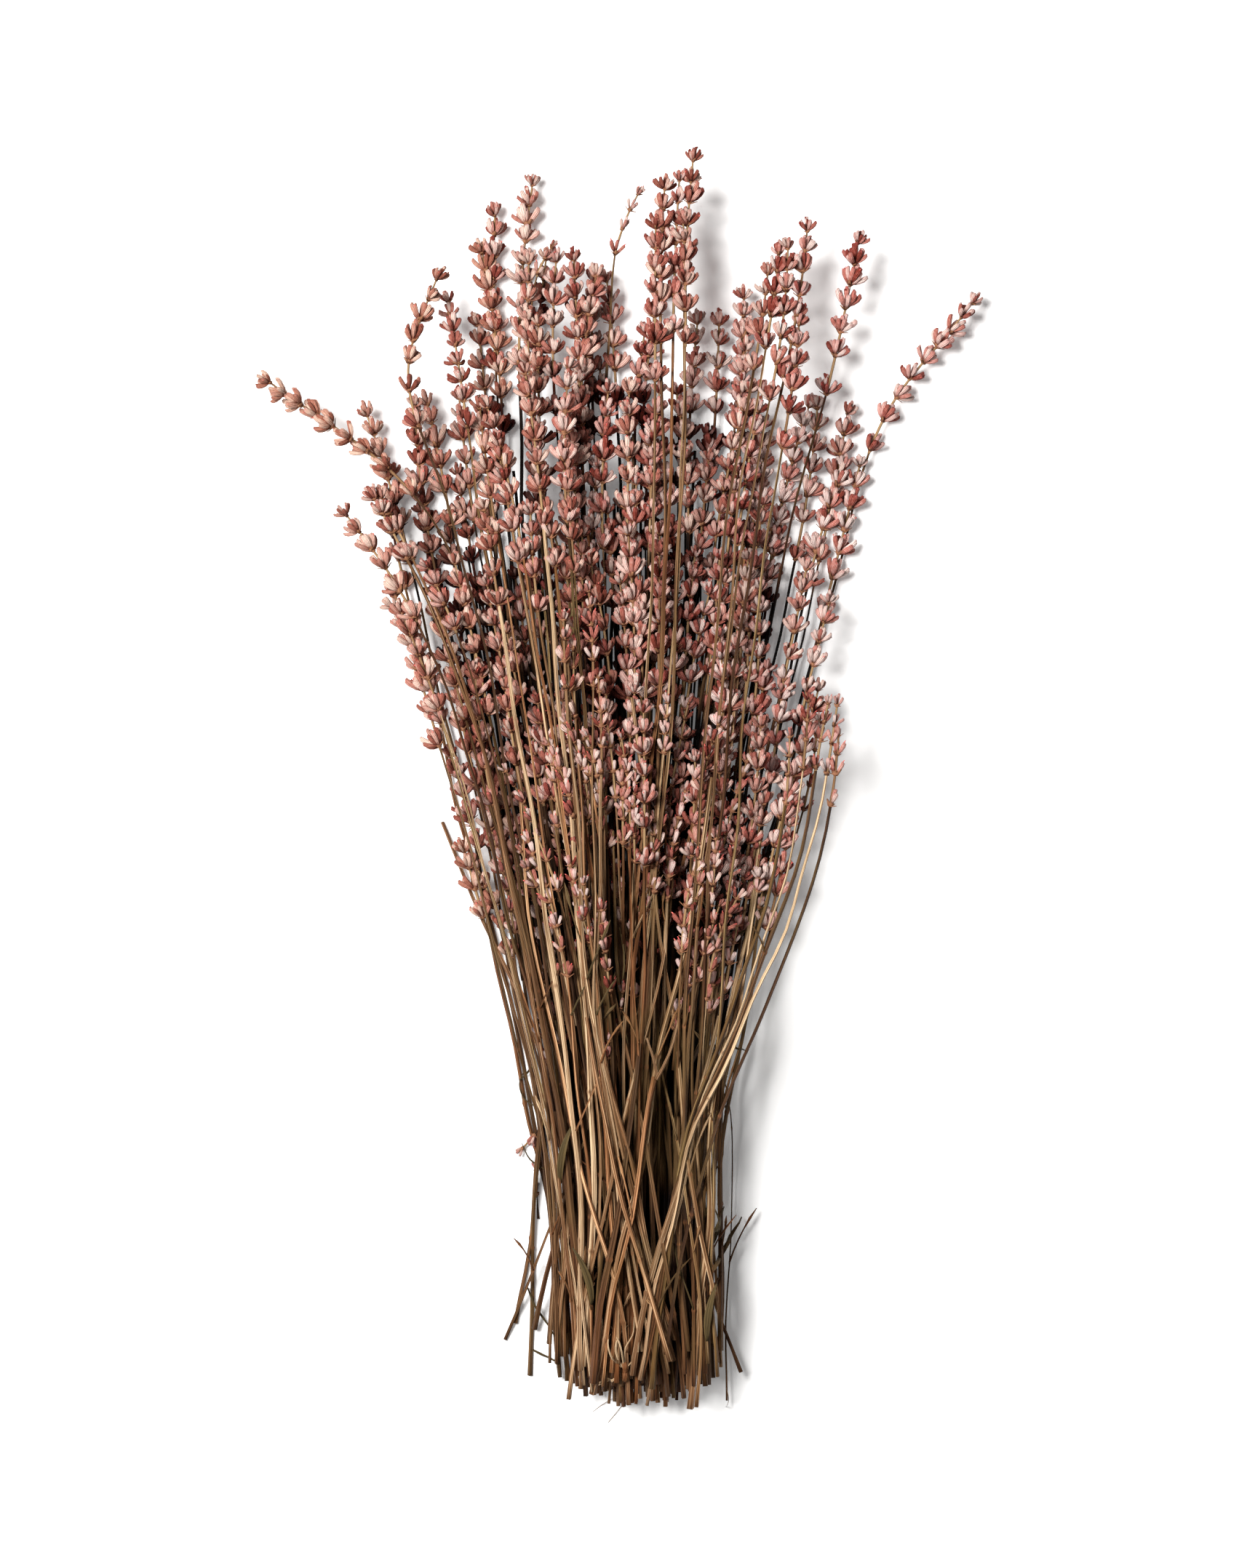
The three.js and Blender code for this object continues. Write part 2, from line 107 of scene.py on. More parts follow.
# Sprays, from the bottom of the pile up: number of stems, x at the foot and at the waist, any
# points that it bends through, its tip, and the length of its heads.
SPRAYS = (
    (3, 18, 18, (), (38, 188), 80),
    (2, 0, -12, ((-40, 80),), (-47, 230), 76),
    (3, 8, 4, (), (-4, 194), 80),
    (4, -18, -28, (), (-80, 146), 76),
    (4, 27, 25, (), (72, 146), 76),
    (4, -6, -14, (), (-36, 92), 72),
    (1, 20, 24, ((62, 90), (78, 150)), (91, 207), 74),
    (1, 34.4, 34.4, ((82, 80), (100, 138)), (139, 181), 84),
    (4, 11, 15, (), (34, 152), 76),
    (3, -2, -8, (), (-30, 200), 80),
    (1, -24, -32, ((-62, 74), (-86, 114)), (-139, 150), 84),
    (4, 15, 12, (), (32, 88), 72),
    (4, 24, 28, (), (64, 84), 70),
    (4, 4, -1, (), (-4, 150), 76),
    (4, -16, -22, (), (-52, 26), 66),
    (4, 22, 16, (), (16, 30), 66),
    (4, 0, 3, (), (-2, 96), 70),
    (2, -12, -16, (), (-30, -18), 54),
    (2, 10, 6, (), (2, -14), 54),
    (4, 33, 31, (), (48, 24), 66),
    (4, -20, -21, (), (-70, 84), 70),
    (2, 14, 8, ((18, 80),), (18, 238), 78),
    (4, 2, -2, (), (-18, 34), 66),
    (1, -14, -20, ((-62, 90), (-82, 150)), (-76, 194), 74),
    (2, 34, 28, (), (36, -20), 54),
    (2, -14, -26, ((-62, 30),), (-102, 117), 66),
    (2, 30, 27, ((44, 80),), (68, 212), 74),
    (4, -10, -9, (), (-42, 156), 76),
    (2, 17, -4, ((-12, -80),), (-17, 74), 44),
    (2, 6, 26, ((47, -84), (66, -28)), (76, 32), 34),
)

# The bunch is cut in a rounded line, straight for some way on both sides of its middle.
MIDDLE_FOOT = 5
STRAIGHT_CUT = 13
CUT_SLOPE = 0.6

# How pale the stems of some sprays are.
PALE = {12: 0.8, 14: 0.75, 17: 0.8, 29: 0.75, 30: 1.0}

# Dry leaves on the uppermost stems: spray, stem, how far from the foot, and how far each curls up
# and to the right.
LEAVES = ((28, 0, 40, 6, -7), (27, 0, 26, 4, 5), (26, 1, 86, 7, 8), (25, 1, 47, 5, 7))
LEAF_LENGTH = 22

# The share of nodes with a side twig, on the stems of sprays past this one and on loose stalks.
UPPER_SPRAYS = 16
SPRAY_FORKS, LOOSE_FORKS = 0.35, 0.25

# Loose stalks: places in plan from the foot up, how high in the pile they lie, thickness, paleness,
# how woody, and the length of the young head at the end.
STRANDS = (
    (((35, -201), (28, -168), (13, -50), (3, 30)), 1, 0.95, 0.75, 0.2, 0),
    (((-12.3, -233), (2.5, -164), (13.5, -105), (26, -50), (33, 0)), 1, 1.1, 0.8, 1.0, 0),
    (((5.4, -116), (1, -95), (-3, -60), (-4, -20)), 1, 0.7, 0.85, 0.1, 0),
    (((25.2, -239), (30.7, -180), (34, -120), (46, -60), (52, -20)), 0.9, 1.2, 0.85, 1.0, 0),
    (((2, -238), (-4, -190), (-20, -130), (-34, -60), (-40, 0)), 0.97, 0.9, 0.9, 0.5, 0),
    (((22, -236), (16, -180), (4, -120), (-6, -60), (-8, 0)), 0.97, 0.9, 0.6, 0.7, 0),
    (((-20, -236), (-14, -190), (-2, -140), (12, -80), (22, -10)), 0.97, 0.85, 0.75, 0.3, 0),
    (((-40.9, -209), (-35, -163), (-30, -110)), 0.3, 0.85, 0.45, 0.2, 0),
    (((-46, -215), (-26, -167), (-12, -130)), 0.5, 0.7, 0.5, 0.2, 0),
    (((-36, -229), (-34, -167), (-29, -100)), 0.4, 0.8, 0.55, 0.2, 0),
    (((-34.3, -211), (-28, -186), (-20, -150)), 0.8, 0.9, 0.3, 0.6, 0),
    (((44, -227), (33.5, -194), (26, -160)), 0.5, 0.8, 0.35, 0.5, 0),
    (((39.3, -238), (38.4, -209), (41.5, -171), (40.4, -127), (34, -100)), 0.3, 0.36, 0.45, 0.0, 0),
    (((13.9, -101), (16, -50), (18.6, -4)), 1, 0.6, 0.8, 0.0, 36),
    (((-3.7, -121), (-2, -95), (0.5, -75)), 1, 0.5, 0.6, 0.0, 22),
    (((-9, -139), (-7, -115), (-5.2, -93)), 1, 0.5, 0.5, 0.0, 22),
    (((14.8, -115), (20, -92), (26.6, -72)), 1, 0.55, 0.6, 0.0, 24),
    (((29.6, -77), (33, -45), (36.4, -17)), 1, 0.55, 0.7, 0.0, 32),
    (((-26.8, -127), (-30, -100), (-31.9, -80)), 0.9, 0.5, 0.3, 0.0, 28),
    (((-38.7, -77), (-43, -50), (-49.1, -20)), 0.9, 0.55, 0.4, 0.0, 40),
    (((-23.9, -47), (-25, -15), (-25.9, 17)), 1, 0.6, 0.7, 0.0, 36),
    (((39, -104), (47.4, -65), (54.3, -36)), 0.8, 0.5, 0.6, 0.0, 14),
    (((38, -110), (51, -70), (62.3, -35), (70, -5), (76.2, 27)), 0.8, 0.6, 0.5, 0.0, 40),
    (((-50.6, -28), (-58, -18), (-66.4, -8.5)), 0.6, 0.4, 0.1, 0.0, 14),
    (((-31.3, -133), (-37, -140), (-43.2, -146)), 0.8, 0.35, 0.1, 0.0, 13),
    (((-32.8, -169), (-33.5, -155), (-33.7, -144)), 0.8, 0.45, 0.2, 0.0, 16),
    (((32.6, -47), (40, -15), (47.4, 17)), 1, 0.6, 0.7, 0.0, 40),
    (((-12, -70), (-14, -50), (-17, -34)), 1, 0.5, 0.7, 0.0, 26),
    (((4, -58), (8, -36), (9, -16)), 1, 0.5, 0.7, 0.0, 30),
    (((38, -112), (45, -76), (51.8, -34)), 1, 0.6, 0.9, 0.0, 9),
    (((12.6, -113), (9, -132), (-3, -190), (-8, -230)), 1, 0.95, 0.9, 1.0, 0),
    (((12.4, -114), (11, -106), (8.6, -98)), 1, 0.5, 0.95, 1.0, 0),
    (((12.8, -114), (16, -108), (19, -100), (22, -84)), 1, 0.55, 0.95, 1.0, 0),
    (((-18, -132), (-17, -150), (-16, -190), (-12, -232)), 1, 0.75, 0.9, 0.8, 0),
    (((-18, -133), (-20.5, -122), (-24, -104)), 1, 0.45, 0.9, 0.8, 0),
    (((-17.8, -133), (-14, -124), (-9, -112)), 1, 0.42, 0.9, 0.8, 0),
    (((27, -238), (28.6, -197), (26, -170), (14, -110)), 1, 0.8, 0.8, 1.0, 0),
    (((-12.8, -228.3), (-7, -192), (-0.2, -150), (6, -100)), 1, 1.2, 0.35, 1.0, 0),
    (((4, -226), (11.4, -181), (21.9, -147), (36, -90)), 1, 1.05, 0.85, 0.9, 0),
    (((17.7, -220), (6.5, -182), (-4.4, -144), (-14, -90)), 1, 0.95, 0.8, 0.2, 0),
    (((-50, 70), (-57, 120), (-63, 154), (-72, 186)), 1, 0.75, 0.6, 0.0, 56),
    (((-6, 150), (-4, 195), (1, 212), (8.5, 226)), 1, 0.5, 0.7, 0.0, 30),
    (((-36, 168), (-33, 190), (-24, 206)), 1, 0.45, 0.6, 0.0, 18),
)

# Stalks that only fill the inside of the pile, and young ones strewn over it.
DEEP_COUNT = 46
BARE_COUNT = 76
YOUNG_COUNT = 26
DEEP_HEAD = 64

# Kinds of surface, as the second number of a point's look says them. On a head there are four. On a stem
# it is a hue up to STEM_HUES, and a dry leaf at LEAF.
CALYX, PETAL, BRACT, STALK = 0, 0.5, 0.75, 1.0
STEM_HUES = 0.28
LEAF = 1.0

# The camera looks straight down at the bunch's middle height, on a stretch as tall as the photo, and a
# soft round lamp stands at the upper left. In metres.
AIM = (0.00156, -0.0019, 0.022)
CAMERA_DISTANCE = 2.0
VIEW_HEIGHT = 0.5941
SENSOR = 36
LAMP_PLACE = (-0.78, 0.4, 1.55)
LAMP_AIM = (0, 0.02, 0)
LAMP_SIZE = 0.85
LAMP_COLOUR = (1.0, 0.99, 0.975)
ROOM_COLOUR = (1, 0.985, 0.97, 1)
FLOOR_HALF = 3.0

# Dry scraps: points in plan with their height above the pile, half width, half thickness, paleness
# and whether they are dark and leafy.
SCRAPS = (
    (((-24, -182, 0), (-15, -184, 1), (-7, -186, 0.4)), 1.0, 0.2, 0.5, 0.8),
    (((-12, -231, 0), (-7, -229, 1.2), (-2, -227, 1)), 0.8, 0.2, 1.0, 0.2),
    (((-37, -195, 1), (-34, -202, 2), (-30, -208, 1.5), (-26, -214, 1)), 0.5, 0.3, 0.0, 0.9),
    (((-35, -219, 1), (-31, -221, 1.5), (-26, -223, 1)), 0.55, 0.35, 0.0, 0.9),
    (((32, -178, 1), (35, -171, 2.5), (38, -163, 3)), 1.7, 0.25, 0.2, 1.0),
    (((32, -188, 1), (37, -181, 2.5), (41, -174, 3.5), (45, -168, 4)), 1.0, 0.25, 0.3, 0.7),
    (((30, -180, 1), (34, -176, 2), (36, -168, 1), (33, -160, 1)), 0.4, 0.3, 0.1, 0.8),
    (((-34, -109, 1), (-37, -113, 2), (-40, -116, 2)), 0.5, 0.25, 0.2, 0.8),
    (((38, -100, 1), (42, -102, 2), (47, -104, 2)), 0.6, 0.2, 0.2, 1.0),
    (((43, -59, 1), (46, -58, 2), (50, -56, 2)), 0.5, 0.2, 0.2, 1.0),
    (((34, -64, 1), (40, -60, 2.5), (45, -59, 2)), 0.7, 0.2, 0.3, 0.9),
    (((0, -224, 0), (-3, -217, 1), (-2, -211, 2), (1.5, -207, 2)), 0.42, 0.25, 1.0, 0.14),
    (((1, -224, 0), (0.5, -216, 2), (3.5, -210, 3), (4, -204, 2)), 0.4, 0.25, 0.9, 0.14),
    (((-1, -223, 0), (-4.5, -219, 1), (-6, -213, 2), (-5, -210, 2)), 0.38, 0.25, 1.0, 0.14),
    (((1, -223, 1), (5, -218, 2), (5.5, -213, 2)), 0.35, 0.25, 0.85, 0.14),
    (((0, -223, 1), (-1.5, -214, 3), (-5, -207, 2)), 0.35, 0.2, 1.0, 0.14),
    (((0, -230, 0), (0.5, -226, 1), (0.2, -221, 1)), 1.3, 1.0, 0.7, 0.26),
    (((1, -238, 0), (-2, -242, 0.5), (-6, -247, 0)), 0.12, 0.12, 0.9, 0.14),
    (((-3, -237, 0), (-8, -240, 0), (-12, -243, 0)), 0.12, 0.12, 0.9, 0.14),
    (((39, -232, 0), (40, -238, 0.4), (39, -241, 0)), 0.14, 0.14, 0.8, 0.14),
    (((-30, -150, 1), (-36, -146, 2), (-39, -140, 2)), 0.35, 0.2, 0.1, 0.9),
    (((-33, -126, 1), (-38, -123, 2), (-40, -117, 2), (-38, -112, 2)), 0.3, 0.2, 0.2, 0.8),
    (((32, -150, 1), (37, -146, 1.5), (38, -138, 1)), 0.3, 0.2, 0.2, 0.8),
)


class Draws:
    """Numbers that come out the same on every run."""

    def __init__(self, seed):
        self.seed = seed

    def __call__(self, low, high):
        self.seed = (self.seed * 1664525 + 1013904223) % 4294967296
        return low + ((high - low) * self.seed) / 4294967296


def hypot(x, y):
    """The root of the squares, rounded as in the solids' own layout."""
    return math.sqrt(x * x + y * y)


def apart(a, b):
    return hypot(b[0] - a[0], b[1] - a[1])


def mix(a, b, t):
    return a + (b - a) * t


def strip_of(y):
    return math.floor((y - FIRST_STRIP_Y) / STRIP)


class Curve:
    """A smooth curve in plan through the given points, read by its length from the foot."""

    parts = 12

    def __init__(self, points):
        last = len(points) - 1
        chord = [apart(a, b) for a, b in zip(points, points[1:])]
        slope = []
        for i in range(last + 1):
            a, b = max(i - 1, 0), min(i + 1, last)
            run = (chord[i - 1] if i > 0 else 0) + (chord[i] if i < last else 0)
            slope.append(((points[b][0] - points[a][0]) / run, (points[b][1] - points[a][1]) / run))
        self.fine = []
        for i in range(last):
            for k in range(self.parts + 1 if i == last - 1 else self.parts):
                t = k / self.parts
                ends = (1 - 3 * t * t + 2 * t * t * t, 3 * t * t - 2 * t * t * t)
                pulls = ((t - 2 * t * t + t * t * t) * chord[i], (t * t * t - t * t) * chord[i])
                self.fine.append(tuple(
                    points[i][axis] * ends[0] + points[i + 1][axis] * ends[1]
                    + slope[i][axis] * pulls[0] + slope[i + 1][axis] * pulls[1] for axis in (0, 1)))
        self.along = [0]
        for a, b in zip(self.fine, self.fine[1:]):
            self.along.append(self.along[-1] + apart(a, b))
        self.length = self.along[-1]

    def heading(self, k):
        a, b = self.fine[max(k - 1, 0)], self.fine[min(k + 1, len(self.fine) - 1)]
        run = apart(a, b)
        return (b[0] - a[0]) / run, (b[1] - a[1]) / run

    def place(self, v, u):
        """The place at length v and u to the right."""
        fine, along = self.fine, self.along
        i = 0
        while i < len(fine) - 2 and along[i + 1] < v:
            i += 1
        t = (v - along[i]) / (along[i + 1] - along[i])
        one, two = self.heading(i), self.heading(i + 1)
        dx, dy = mix(one[0], two[0], t), mix(one[1], two[1], t)
        run = hypot(dx, dy)
        dx, dy = dx / run, dy / run
        x, y = mix(fine[i][0], fine[i + 1][0], t), mix(fine[i][1], fine[i + 1][1], t)
        return x + u * dy, y - u * dx


class Ring:
    """One cross-section of a stem or a head, as the layout sees it."""

    def __init__(self, v, top, bottom, full=False):
        self.v, self.top, self.bottom, self.full = v, top, bottom, full


class Stem:
    """One stem of a spray: its place across the spray at the foot and at the neck, and its head."""

    rise = 0
    cut = 0

    def across(self, v):
        if v <= self.neck_at:
            return mix(self.foot, self.neck, v / self.neck_at)
        on = v - self.neck_at
        return self.neck + ((self.neck - self.foot) / self.neck_at) * on + self.flare * on * on


class Spray:
    """Up to four stems side by side, that lie on the pile as one gently curved sheet."""

    def __init__(self, spec, draw):
        count, foot, waist, via, tip, head = spec
        self.curve = Curve([(foot, FOOT_Y), (waist, WAIST_Y), *via, tip])
        self.head = head
        feet, necks = BRAIDS[count]
        side = -1 if draw(0, 1) < 0.5 else 1
        most = math.floor(head / WHORL_SPACING)
        first = self.curve.length - (most - 1) * WHORL_SPACING - WHORL_HEIGHT - BUD_LENGTH - TIP_GAP
        self.stems = []
        for i in range(count):
            stem = Stem()
            late = 0 if count == 1 else math.floor(draw(0, 2.3))
            short = 0 if count == 1 else math.floor(draw(0, 1.6))
            stem.foot = side * feet[i]
            stem.neck = side * necks[i] * HEAD_SPACING
            stem.neck_at = first + late * WHORL_SPACING
            stem.start = 0 if count == 1 else draw(0, 16)
            stem.size = draw(0.9, 1.04)
            stem.flare = side * necks[i] * draw(0.0002, 0.0007) + draw(-0.0004, 0.0004)
            stem.whorls = max(3, most - late - short)
            stem.rings = []
            for k in range(STEM_ROWS + 1):
                v = mix(stem.start, stem.neck_at, k / STEM_ROWS)
                thick = mix(FOOT_RADIUS, NECK_RADIUS, v / stem.neck_at)
                stem.rings.append(Ring(v, thick, thick / 2))
            for w in range(stem.whorls + 1):
                thick = WHORL_RADIUS * stem.size + 0.15
                stem.rings.append(Ring(stem.neck_at + w * WHORL_SPACING, thick, thick, True))
            self.place_rings(stem)
            self.stems.append(stem)
        self.stems.sort(key=lambda stem: stem.neck)

    def place_rings(self, stem):
        for ring in stem.rings:
            ring.u = stem.across(ring.v)
            ring.x, ring.y = self.curve.place(ring.v, ring.u)

    def points(self):
        """Points at most 3 mm apart along the stems, each with the share of its two rings."""
        for stem in self.stems:
            for a, b in zip(stem.rings, stem.rings[1:]):
                steps = math.ceil(hypot(b.x - a.x, b.y - a.y) / 3)
                for i in range(steps):
                    t = i / steps
                    yield mix(a.x, b.x, t), mix(a.y, b.y, t), a, b, t

    def settle(self, lying, draw):
        """Lays the spray as low on the pile as its slopes and bends allow."""
        points = list(self.points())
        low = np.array([floor_under(p, lying) for p in points])
        for stem in self.stems:
            for ring in stem.rings:
                t = ring.v / self.curve.length
                ring.terms = (t, t * t, t * t * t, (ring.u * t) / 10)
        rows = np.array([[mix(p, q, t) for p, q in zip(a.terms, b.terms)] for _, _, a, b, t in points])
        mean = [0, 0, 0, 0]
        for row in rows:
            mean = [total + term / len(rows) for total, term in zip(mean, row)]

        def lift(slopes):
            need = low
            for slope, term in zip(slopes, rows.T):
                need = need - slope * term
            return float(need.max())

        def cost(slopes):
            total = lift(slopes) * (1 + FOOT_WEIGHT)
            for slope, term in zip(slopes, mean):
                total += slope * term
            _, bend, curl, twist = slopes
            return total + BEND_COST * (bend * bend + curl * curl) + TWIST_COST * twist * twist

        best = [10, 0, 0, 0]
        least = cost(best)
        reach = FIRST_REACH
        for _ in range(ROUNDS):
            for _ in range(TRIES):
                trial = [slope + draw(-1, 1) * reach * share for slope, share in zip(best, REACH_SHARES)]
                if abs(trial[3]) > MOST_TWIST:
                    continue
                price = cost(trial)
                if price < least:
                    least, best = price, trial
            reach *= 0.6
        self.shape, self.base = best, lift(best)
        for stem in self.stems:
            for ring in stem.rings:
                ring.z = self.base
                for slope, term in zip(best, ring.terms):
                    ring.z += slope * term
        self.lie_down(lying)

    def lie_down(self, lying):
        """Adds the stems to what lies in each strip across the pile."""
        for stem in self.stems:
            for a, b in zip(stem.rings, stem.rings[1:]):
                if a.v == b.v:
                    continue
                start, end = strip_of(min(a.y, b.y) - STRIP / 2), strip_of(max(a.y, b.y) + STRIP / 2)
                for strip in range(start, end + 1):
                    lying.setdefault(strip, []).append((a, b))

    def height(self, v, u):
        t = v / self.curve.length
        s = self.shape
        return self.base + s[0] * t + s[1] * t * t + s[2] * t * t * t + (s[3] * u * t) / 10

    def point(self, v, u, up=0.0):
        """A point of the bunch in metres, up above the spray's sheet."""
        x, y = self.curve.place(v, u)
        return Vector((x + CENTRE_X, y + CENTRE_Y, self.height(v, u) + up)) * MM


class Strand(Spray):
    """One loose stalk, draped over the pile or pushed into it, with or without a young head."""

    step = 5
    end_sag = 0.5
    sunk_start = 35
    drape_rounds = 30
    joins_pile = 0.55

    def __init__(self, path, lie, thick, head, lying):
        self.curve = Curve(path)
        stem = Stem()
        stem.foot = stem.neck = stem.start = stem.flare = 0
        stem.neck_at = self.curve.length - head
        stem.size = 0.95
        stem.whorls = max(1, head / WHORL_SPACING)
        self.stems, self.head = [stem], head
        count = max(3, round(self.curve.length / self.step))
        self.pace = self.curve.length / count
        dips = self.curve.length > 40 and -200 < path[0][1] < path[1][1]
        under = []
        for k in range(count + 1):
            x, y = self.curve.place(k * self.pace, 0)
            share = mix(0.5, 1, min(1, k * self.pace / self.sunk_start)) if dips else 1
            under.append(top_of_pile(lying, x, y) * lie * share + thick * 0.7)
        self.heights = list(under)
        for _ in range(self.drape_rounds):
            for k, low in enumerate(under):
                before, after = self.heights[max(k - 1, 0)], self.heights[min(k + 1, count)]
                self.heights[k] = max(low, (before + after) / 2 - (self.end_sag if k in (0, count) else 0))
        stem.rings = [Ring(k * self.pace, thick, thick) for k in range(count + 1)]
        self.place_rings(stem)
        for ring in stem.rings:
            ring.z = self.height(ring.v, 0)
        if lie > self.joins_pile:
            self.lie_down(lying)

    def height(self, v, u):
        k = min(max(math.floor(v / self.pace), 0), len(self.heights) - 2)
        return mix(self.heights[k], self.heights[k + 1], v / self.pace - k)


def share_on(x, y, a, b):
    """The nearest place on the line from ring a to ring b, and how far off it is."""
    ax, ay = b.x - a.x, b.y - a.y
    t = ((x - a.x) * ax + (y - a.y) * ay) / (ax * ax + ay * ay)
    t = min(1, max(0, t))
    return t, hypot(x - a.x - ax * t, y - a.y - ay * t)


def floor_under(point, lying):
    """The lowest height at which a point clears the surface and what lies there already."""
    x, y, a, b, t = point
    full = a.full and b.full
    bottom = mix(a.bottom, b.bottom, t) if full else (b.bottom if a.full else a.bottom)
    low = bottom - PRESSED_FLAT
    for qa, qb in lying.get(strip_of(y), ()):
        at, away = share_on(x, y, qa, qb)
        head = qa.full and qb.full
        near = bottom + (qb.top if qa.full and not head else qa.top) + LYING_GAP
        wide = near if full or head else 0.87 * (qa.top + 2 * bottom) + LYING_GAP
        if away >= wide:
            continue
        rise = math.sqrt(near * near - away * away) if full or head else near
        low = max(low, mix(qa.z, qb.z, at) + rise)
    return low


def top_of_pile(lying, x, y):
    """The height of the pile's upper side at a place, in millimetres."""
    top = 0.0
    for a, b in lying.get(strip_of(y), ()):
        at, away = share_on(x, y, a, b)
        thick = max(a.top, b.top) if a.full and b.full else min(a.top, b.top)
        if away < thick:
            top = max(top, mix(a.z, b.z, at) + math.sqrt(thick * thick - away * away))
    return top


def extra_stems(spray, draw):
    """More stalks between and beside the stems of a spray, with their heads a little lower."""
    count = len(spray.stems) + 1 if len(spray.stems) > 1 else 0
    for i in range(count):
        model = spray.stems[min(i, len(spray.stems) - 1)]
        stem = Stem()
        stem.foot = draw(-10, 10)
        stem.neck = mix(-0.5, 0.5, i / (count - 1)) * (len(spray.stems) - 0.4) * HEAD_SPACING + draw(-3, 3)
        stem.start = draw(0, 24)
        stem.neck_at = model.neck_at + draw(-36, 2)
        stem.whorls = max(3, model.whorls - math.floor(draw(0, 2.5)))
        stem.size = draw(0.86, 1.0)
        stem.flare = model.flare * 0.7
        stem.rise = draw(-3.2, 2.2)
        yield stem


def deep_strands(lying):
    """Stalks with and without heads that fill the inside of the pile, from the left, -1, to the right, 1."""
    draw = Draws(90)
    for k in range(DEEP_COUNT):
        s = mix(-1, 1, (k + draw(0.2, 0.8)) / DEEP_COUNT)
        headed = k % 3 > 0
        tip = (-4 + 66 * s + draw(-5, 5), draw(-10, 130) - 30 * s * s - (0 if headed else 40))
        path = ((4 + 20 * s, draw(-236, -222)), (1 + 24 * s + draw(-4, 4), -130), tip)
        yield Strand(path, draw(0.15, 0.55), draw(0.75, 1.0), DEEP_HEAD if headed else 0, lying)
    for k in range(BARE_COUNT):
        s = mix(-1, 1, (k + draw(0.1, 0.9)) / BARE_COUNT)
        tip = (-2 + 62 * s + draw(-3, 3), draw(50, 132) - 44 * abs(s) ** 3)
        path = ((4 + 23 * s, draw(-234, -216)), (1 + 26 * s, -130), (-1 + 43 * s, -20 - 10 * s * s), tip)
        yield Strand(path, draw(0.08, 0.5), draw(0.7, 0.95), 0, lying)


def young_strands(lying):
    """Thin stalks with young heads that end low down on the pile, from left to right as well."""
    draw = Draws(611)
    for k in range(YOUNG_COUNT):
        s = mix(-1, 1, (k + draw(0.1, 0.9)) / YOUNG_COUNT)
        tip = (-2 + 46 * s, draw(-66, 40))
        path = ((1 + 24 * s + draw(-5, 5), tip[1] - draw(60, 110)), (0.5 + 34 * s, tip[1] - 30), tip)
        yield Strand(path, 1.0, draw(0.5, 0.62), draw(26, 50), lying)


def lay_all():
    """The sprays, the stalks in and on the pile, and what lies in each strip."""
    draw = Draws(20417)
    lying = {}
    sprays = []
    for spec in SPRAYS:
        spray = Spray(spec, draw)
        spray.settle(lying, draw)
        sprays.append(spray)
    for spray in sprays:
        spray.extras = list(extra_stems(spray, draw))
        for stem in spray.stems + spray.extras:
            aside = abs(spray.curve.place(0, stem.foot)[0] - MIDDLE_FOOT)
            stem.cut = CUT_SLOPE * max(0, aside - STRAIGHT_CUT)
    deep = list(deep_strands(lying))
    strands = [Strand(path, lie, thick, head, lying) for path, lie, thick, _, _, head in STRANDS]
    young = list(young_strands(lying))
    return sprays, deep, strands, young, lying


BUNCH, DEEP, LOOSE, YOUNG, PILE = lay_all()


class Relief:
    """How high the pile reaches over a grid of places, in millimetres, and how deep a place lies in it, for
    painted shade.
    """

    cell, west, south = 4.0, -160.0, -260.0
    # Painted shade is full this far below the pile's top, in millimetres.
    full_shade_depth = 20

    def __init__(self, lying):
        east, north = -self.west, -self.south
        xs, ys = np.arange(self.west, east, self.cell), np.arange(self.south, north, self.cell)
        self.tops = np.array([[top_of_pile(lying, x, y) for y in ys] for x in xs])
        # The heights that the painted shade counts down from: the least of the mean heights around each
        # cell.
        self.shade = self.around(self.around(self.tops, np.mean, 1), np.min, 2)

    @staticmethod
    def around(grid, choose, reach):
        """The mean or the least of every cell's neighbourhood."""
        wide, span = np.pad(grid, reach), range(2 * reach + 1)
        return choose([wide[i:i + grid.shape[0], j:j + grid.shape[1]] for i in span for j in span], axis=0)

    def top(self, x, y):
        """The pile's height near a place, smoothed over a few cells."""
        i, j = int((x - self.west) / self.cell), int((y - self.south) / self.cell)
        return float(self.tops[i - 1:i + 2, j - 1:j + 2].mean())

    def depth(self, places):
        """How far down in the pile each place in metres is, from 0 to 1 at full depth; the materials paint
        shade by it.
        """
        east = np.clip((places[:, 0] / MM - self.west) / self.cell, 0, self.tops.shape[0] - 1).astype(int)
        north = np.clip((places[:, 1] / MM - self.south) / self.cell, 0, self.tops.shape[1] - 1).astype(int)
        return np.clip((self.shade[east, north] - places[:, 2] / MM) / self.full_shade_depth, 0, 1)


RELIEF = Relief(PILE)


# Materials.
GLOSS = 0.15
FLOOR_GLOW = 0.14


def tone(colour):
    """A colour as the shader takes it: three numbers are screen values, and four are ready."""
    if len(colour) == 4:
        return colour
    return *(((c / 255 + 0.055) / 1.055) ** 2.4 if c > 10 else c / 3295 for c in colour), 1.0


class Wire:
    """A socket whose arithmetic adds Math nodes."""

    def __init__(self, recipe, socket):
        self.recipe, self.socket = recipe, socket

    def math(self, operation, *values):
        return self.recipe.add("ShaderNodeMath", {"operation": operation}, *values)[0]

    def __add__(self, other):
        return self.math("ADD", self, other)

    def __sub__(self, other):
        return self.math("SUBTRACT", self, other)

    def __rsub__(self, other):
        return self.math("SUBTRACT", other, self)

    def __mul__(self, other):
        return self.math("MULTIPLY", self, other)

    __radd__, __rmul__ = __add__, __mul__

    def above(self, low, high):
        """0 below low, 1 above high, and smooth between."""
        smooth = {"interpolation_type": "SMOOTHSTEP"}
        return self.recipe.add("ShaderNodeMapRange", smooth, self, low, high)[0]

    def sine(self):
        return self.math("SINE", self)


